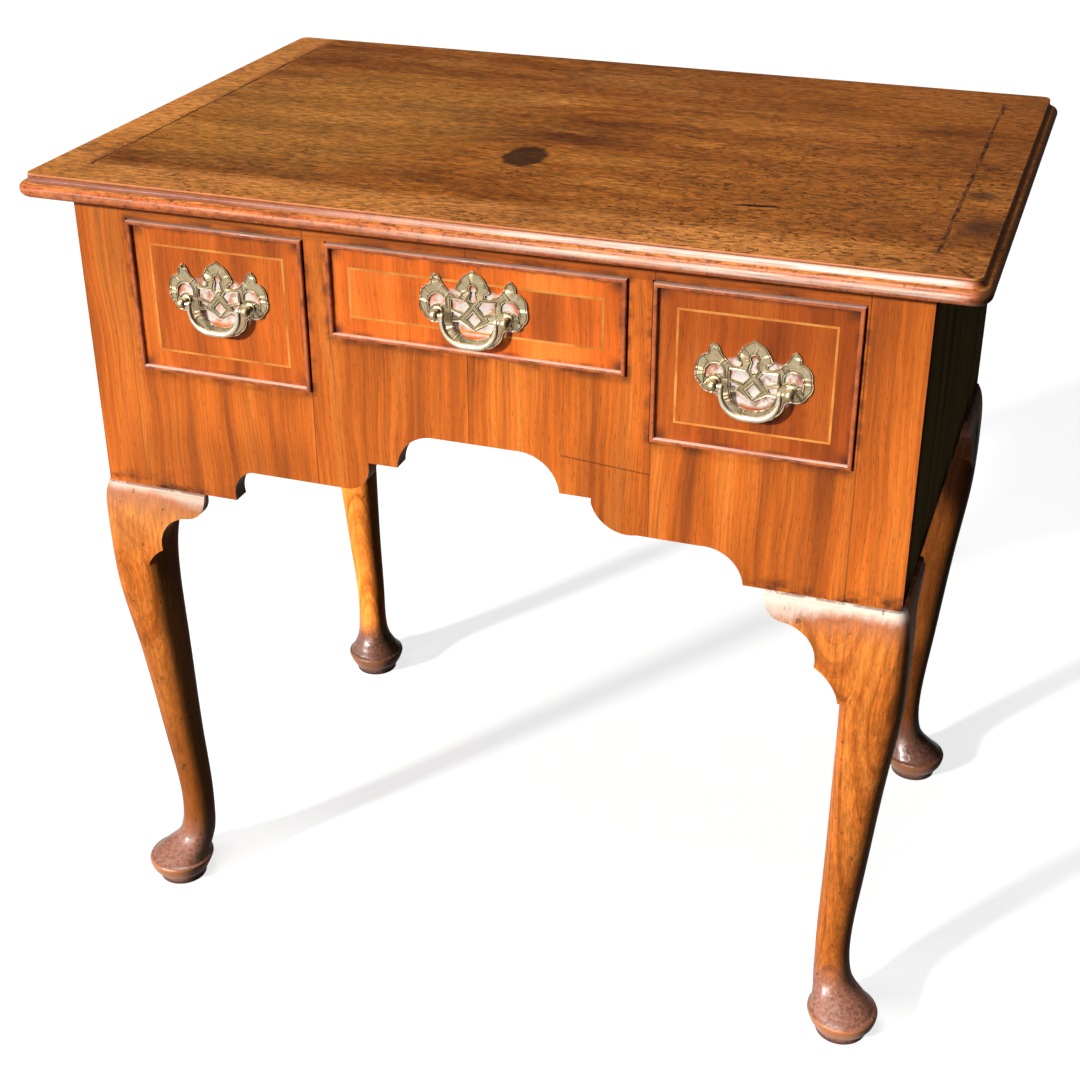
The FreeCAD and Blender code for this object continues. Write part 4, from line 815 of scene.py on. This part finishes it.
def placeCopy(shape, name, finishNames, crease):
    mesh = bpy.data.meshes.new(name + "_worked")
    shape.to_mesh(mesh)
    shape.free()
    if "custom_normal" in mesh.attributes:  # stale after the merge
        mesh.attributes.remove(mesh.attributes["custom_normal"])
    mesh.shade_smooth()
    mesh.set_sharp_from_angle(angle=math.radians(crease))
    for finish in finishNames:
        mesh.materials.append(finishes[finish])
    piece = bpy.data.objects.new(name + "_worked", mesh)
    bpy.context.scene.collection.objects.link(piece)
    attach(piece, nodes[name]["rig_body"])
    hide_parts(name)


print("working the top")
boardLook = {"finishes": ["top", "moulding", "pineAcross"], "flat": 0.9, "underLayer": 0.001, "crease": 32.0}
shape = copyNode("top_board")
for face in shape.faces:
    if face.normal.z < boardLook["flat"] or face.calc_center_median().z < topUnder + boardLook["underLayer"]:
        face.material_index = 1
    if face.normal.z < -boardLook["flat"]:
        face.material_index = 2
placeCopy(shape, "top_board", boardLook["finishes"], boardLook["crease"])

footLook = {
    # share of the way from the ankle's middle to the pad's middle, girth and rise, at heights over the floor
    "lean": ((0.014, 1.0), (0.018, 0.953), (0.022, 0.869), (0.026, 0.747), (0.030, 0.597), (0.036, 0.390),
             (0.042, 0.228), (0.050, 0.097), (0.060, 0.0)),
    "girth": ((0.0070, 0.94), (0.0090, 0.90), (0.0105, 0.912), (0.0120, 0.928), (0.0135, 0.945), (0.0150, 0.967),
              (0.0163, 0.987), (0.0172, 1.0), (0.0188, 0.995), (0.0206, 0.93),
              (0.0260, 0.905), (0.0340, 0.925), (0.0450, 0.97), (0.0560, 1.0)),
    "rise": ((0.0070, 0.0), (0.0120, 0.0018), (0.0172, 0.0040), (0.0188, 0.0042), (0.0300, 0.0030), (0.0450, 0.0)),
    "cuts": (0.0090, 0.0105, 0.0120, 0.0135, 0.0150, 0.0161, 0.0172, 0.0180, 0.0188, 0.0197, 0.0206, 0.0230, 0.0260,
             0.0300, 0.0340, 0.0390, 0.0450),
    # heights between which the middles are measured, and up to which the pad and the foot are reshaped
    "padBand": (-0.001, 0.002), "ankleBand": (0.052, 0.068), "underside": 0.0065, "padTop": 0.0075, "top": 0.056,
    "padRim": 0.0192, "padGirth": 1.24, "cutTop": 0.08, "snap": 0.00002, "crease": 38.0, "earCrease": 34.0,
}


def along(table, value):
    # straight lines between the rows of a table, level beyond its ends
    if value <= table[0][0]:
        return table[0][1]
    for (low, start), (high, end) in zip(table, table[1:]):
        if value <= high:
            return start + (end - start) * (value - low) / (high - low)
    return table[-1][1]


def workFoot(shape):
    # a crisp rim on the foot, drawn in toward the pad below it and toward the ankle above it
    look = footLook
    for height in look["cuts"]:
        low = [face for face in shape.faces if face.calc_center_median().z < look["cutTop"]]
        edges, verts = {edge for face in low for edge in face.edges}, {vert for face in low for vert in face.verts}
        bmesh.ops.bisect_plane(shape, geom=low + list(edges) + list(verts), plane_co=(0, 0, height),
                               plane_no=(0, 0, 1), dist=look["snap"])

    def middle(low, high):
        ring = [vert.co for vert in shape.verts if low < vert.co.z < high]
        return [(min(co[axis] for co in ring) + max(co[axis] for co in ring)) / 2 for axis in (0, 1)]

    pad, ankle = middle(*look["padBand"]), middle(*look["ankleBand"])
    for vert in shape.verts:
        height, off = vert.co.z, math.hypot(vert.co.x - pad[0], vert.co.y - pad[1])
        if height < look["padTop"] and off < look["padRim"]:
            vert.co.x, vert.co.y = (p + (value - p) * look["padGirth"] for p, value in zip(pad, vert.co))
        elif look["underside"] < height < look["top"]:
            lean = along(look["lean"], height)
            centre = Vector((*(a + (p - a) * lean for a, p in zip(ankle, pad)), height))
            out = vert.co - centre
            centre.z += along(look["rise"], height)
            vert.co = centre + out * along(look["girth"], height)


print("smoothing the legs and ears")
for name, plan in legPlans.items():
    shape = copyNode(name)
    workFoot(shape)
    placeCopy(shape, name, [name], footLook["crease"])
    for ear in plan["ears"]:
        placeCopy(copyNode(ear), ear, [name], footLook["earCrease"])

plateLook = {
    "finishes": ["brass", "rubbedBrass", "grimyBrass"], "crease": 30.0, "facing": -0.99, "chamfer": 0.00055,
    "chamferDrop": 0.0006, "rim": 0.0004, "groove": 0.00032, "grooveDrop": 0.00028,
}


def workPlate(name):
    # a chamfer round every edge, and an engraved line inside it
    look = plateLook
    shape = copyNode(name)
    front = [face for face in shape.faces if face.normal.y < look["facing"]]
    outer = {vert for face in front for edge in face.edges if not all(f in front for f in edge.link_faces)
             for vert in edge.verts}

    def inset(thickness, depth, finish):
        result = bmesh.ops.inset_region(shape, faces=front, use_boundary=True, use_even_offset=True,
                                        thickness=thickness, depth=depth)
        for face in result["faces"]:
            face.material_index = finish

    inset(look["chamfer"], 0.0, 1)
    for vert in outer:
        vert.co.y += look["chamferDrop"]
    inset(look["rim"], 0.0, 0)
    inset(look["groove"], -look["grooveDrop"], 2)
    inset(look["groove"], look["grooveDrop"], 2)
    placeCopy(shape, name, look["finishes"], look["crease"])


print("working the beads and handles")
for word in drawers:
    drawer = f"drawer_{word}_"
    placeCopy(copyNode(drawer + "bead"), drawer + "bead", ["bead"], workLook["beadCrease"])
    workPlate(drawer + "backplate")
    placeCopy(copyNode(drawer + "posts"), drawer + "posts", ["brass"], workLook["postsCrease"])
    placeCopy(copyNode(drawer + "bail"), drawer + "bail", ["rubbedBrass"], workLook["bailCrease"])


print("setting the stage")
stageLook = {
    "size": 14.0, "floor": paint(0.11, 0.108, 0.105), "seenFloor": paint(0.52, 0.515, 0.51), "lift": 0.77,
    "mirror": (0.42, 0.90, 0.50, 0.06), "cast": ((1.5, 1.5, 1.5), 2.0), "casts": (0.3, 0.7, 0.98, 1.02),
    "roughness": 0.8, "ambient": 0.14, "gloss": (0.35, -0.35, 0.08, 0.75), "window": 7.0,
    "windowLeft": (-0.60, -0.16, 0.10, 1.0), "windowRight": (0.24, 0.04), "windowLow": (0.0, 0.08),
    "windowHigh": (0.62, 0.40), "rightSide": (0.55, -0.10, 0.10, 1.0),
}


def seenRays(tree):
    # rays from the camera, and rays that a shine sends out
    outputs = addNode(tree, "LightPath").outputs
    seen = calc("MAXIMUM", *(Value(tree, outputs[f"Is {kind} Ray"]) for kind in ("Camera", "Transmission")))
    return seen, Value(tree, outputs["Is Glossy Ray"])


shape = bmesh.new()
bmesh.ops.create_grid(shape, x_segments=1, y_segments=1, size=stageLook["size"] / 2)
mesh = bpy.data.meshes.new("floor")
shape.to_mesh(mesh)
shape.free()
floor = bpy.data.objects.new("floor", mesh)
bpy.context.scene.collection.objects.link(floor)
at = Place("paleFloor")
seen, glossy = seenRays(at.tree)
seen = most(seen, glossy * between(at.x, *stageLook["mirror"]))
pale = tint(seen, stageLook["floor"], stageLook["seenFloor"])
pale = shaded(pale, between(spots(at, *stageLook["cast"]), *stageLook["casts"]))
setShader(at, {"Base Color": pale, "Roughness": stageLook["roughness"], "Specular IOR Level": 0.0,
               "Emission Color": paint(1.0, 1.0, 1.0), "Emission Strength": seen * stageLook["lift"]})
mesh.materials.append(at.material)

world = bpy.data.worlds.new("studio")
bpy.context.scene.world = world
world.use_nodes = True
tree = world.node_tree
seen, glossy = seenRays(tree)
towardX, towardY, towardZ = parts(Value(tree, addNode(tree, "TexCoord").outputs["Generated"]))
# a tall window in front, fading toward the left, that only polished surfaces show
window = between(towardX, *stageLook["windowLeft"]) * between(towardX, *stageLook["windowRight"])
window = window * between(towardZ, *stageLook["windowLow"]) * between(towardZ, *stageLook["windowHigh"])
gloss = between(towardY, *stageLook["gloss"]) + window * (towardY < 0.0) * stageLook["window"]
strength = stageLook["ambient"] + glossy * (gloss - stageLook["ambient"])
# the right side of the room is dark
strength = most(strength * between(towardX, *stageLook["rightSide"]), seen)
background = tree.nodes["Background"]
plug(paint(1.0, 1.0, 1.0), background.inputs["Color"])
plug(strength, background.inputs["Strength"])

lamps = {
    "key": {"kind": "SUN", "toward": (-0.52, -0.78, 0.36), "angle": 3.5, "strength": 3.35},
    "strip": {"kind": "AREA", "place": (-0.25, -0.95, 2.9), "aimAt": (-0.25, 0.0, 0.6), "width": 1.5, "depth": 0.5,
              "strength": 40.0},
}
for name, lamp in lamps.items():
    light = bpy.data.lights.new(name, lamp["kind"])
    light.energy = lamp["strength"]
    thing = bpy.data.objects.new(name, light)
    bpy.context.scene.collection.objects.link(thing)
    if lamp["kind"] == "SUN":
        light.angle = math.radians(lamp["angle"])
        aim = -Vector(lamp["toward"])
    else:
        light.shape = "RECTANGLE"
        light.size, light.size_y = lamp["width"], lamp["depth"]
        thing.location = lamp["place"]
        aim = Vector(lamp["aimAt"]) - Vector(lamp["place"])
    thing.rotation_euler = aim.to_track_quat("-Z", "Y").to_euler()

cameraLook = {"place": (0.46333, -1.39378, 1.12134), "turn": 19.458, "tilt": 28.651, "roll": -0.174, "lens": 58.455,
              "sensor": 36.0}
turn, tilt, roll = (math.radians(cameraLook[key]) for key in ("turn", "tilt", "roll"))
ahead = Vector((-math.sin(turn) * math.cos(tilt), math.cos(turn) * math.cos(tilt), -math.sin(tilt)))
right = ahead.cross(Vector((0, 0, 1))).normalized()
up = right.cross(ahead)
right, up = right * math.cos(roll) + up * math.sin(roll), up * math.cos(roll) - right * math.sin(roll)
lens = bpy.data.cameras.new("camera")
lens.lens = cameraLook["lens"]
lens.sensor_width = cameraLook["sensor"]
camera = bpy.data.objects.new("camera", lens)
bpy.context.scene.collection.objects.link(camera)
camera.matrix_world = Matrix.Translation(cameraLook["place"]) @ Matrix((right, up, -ahead)).transposed().to_4x4()
bpy.context.scene.camera = camera
bpy.context.scene.view_settings.view_transform = "Standard"


print("scene ready")
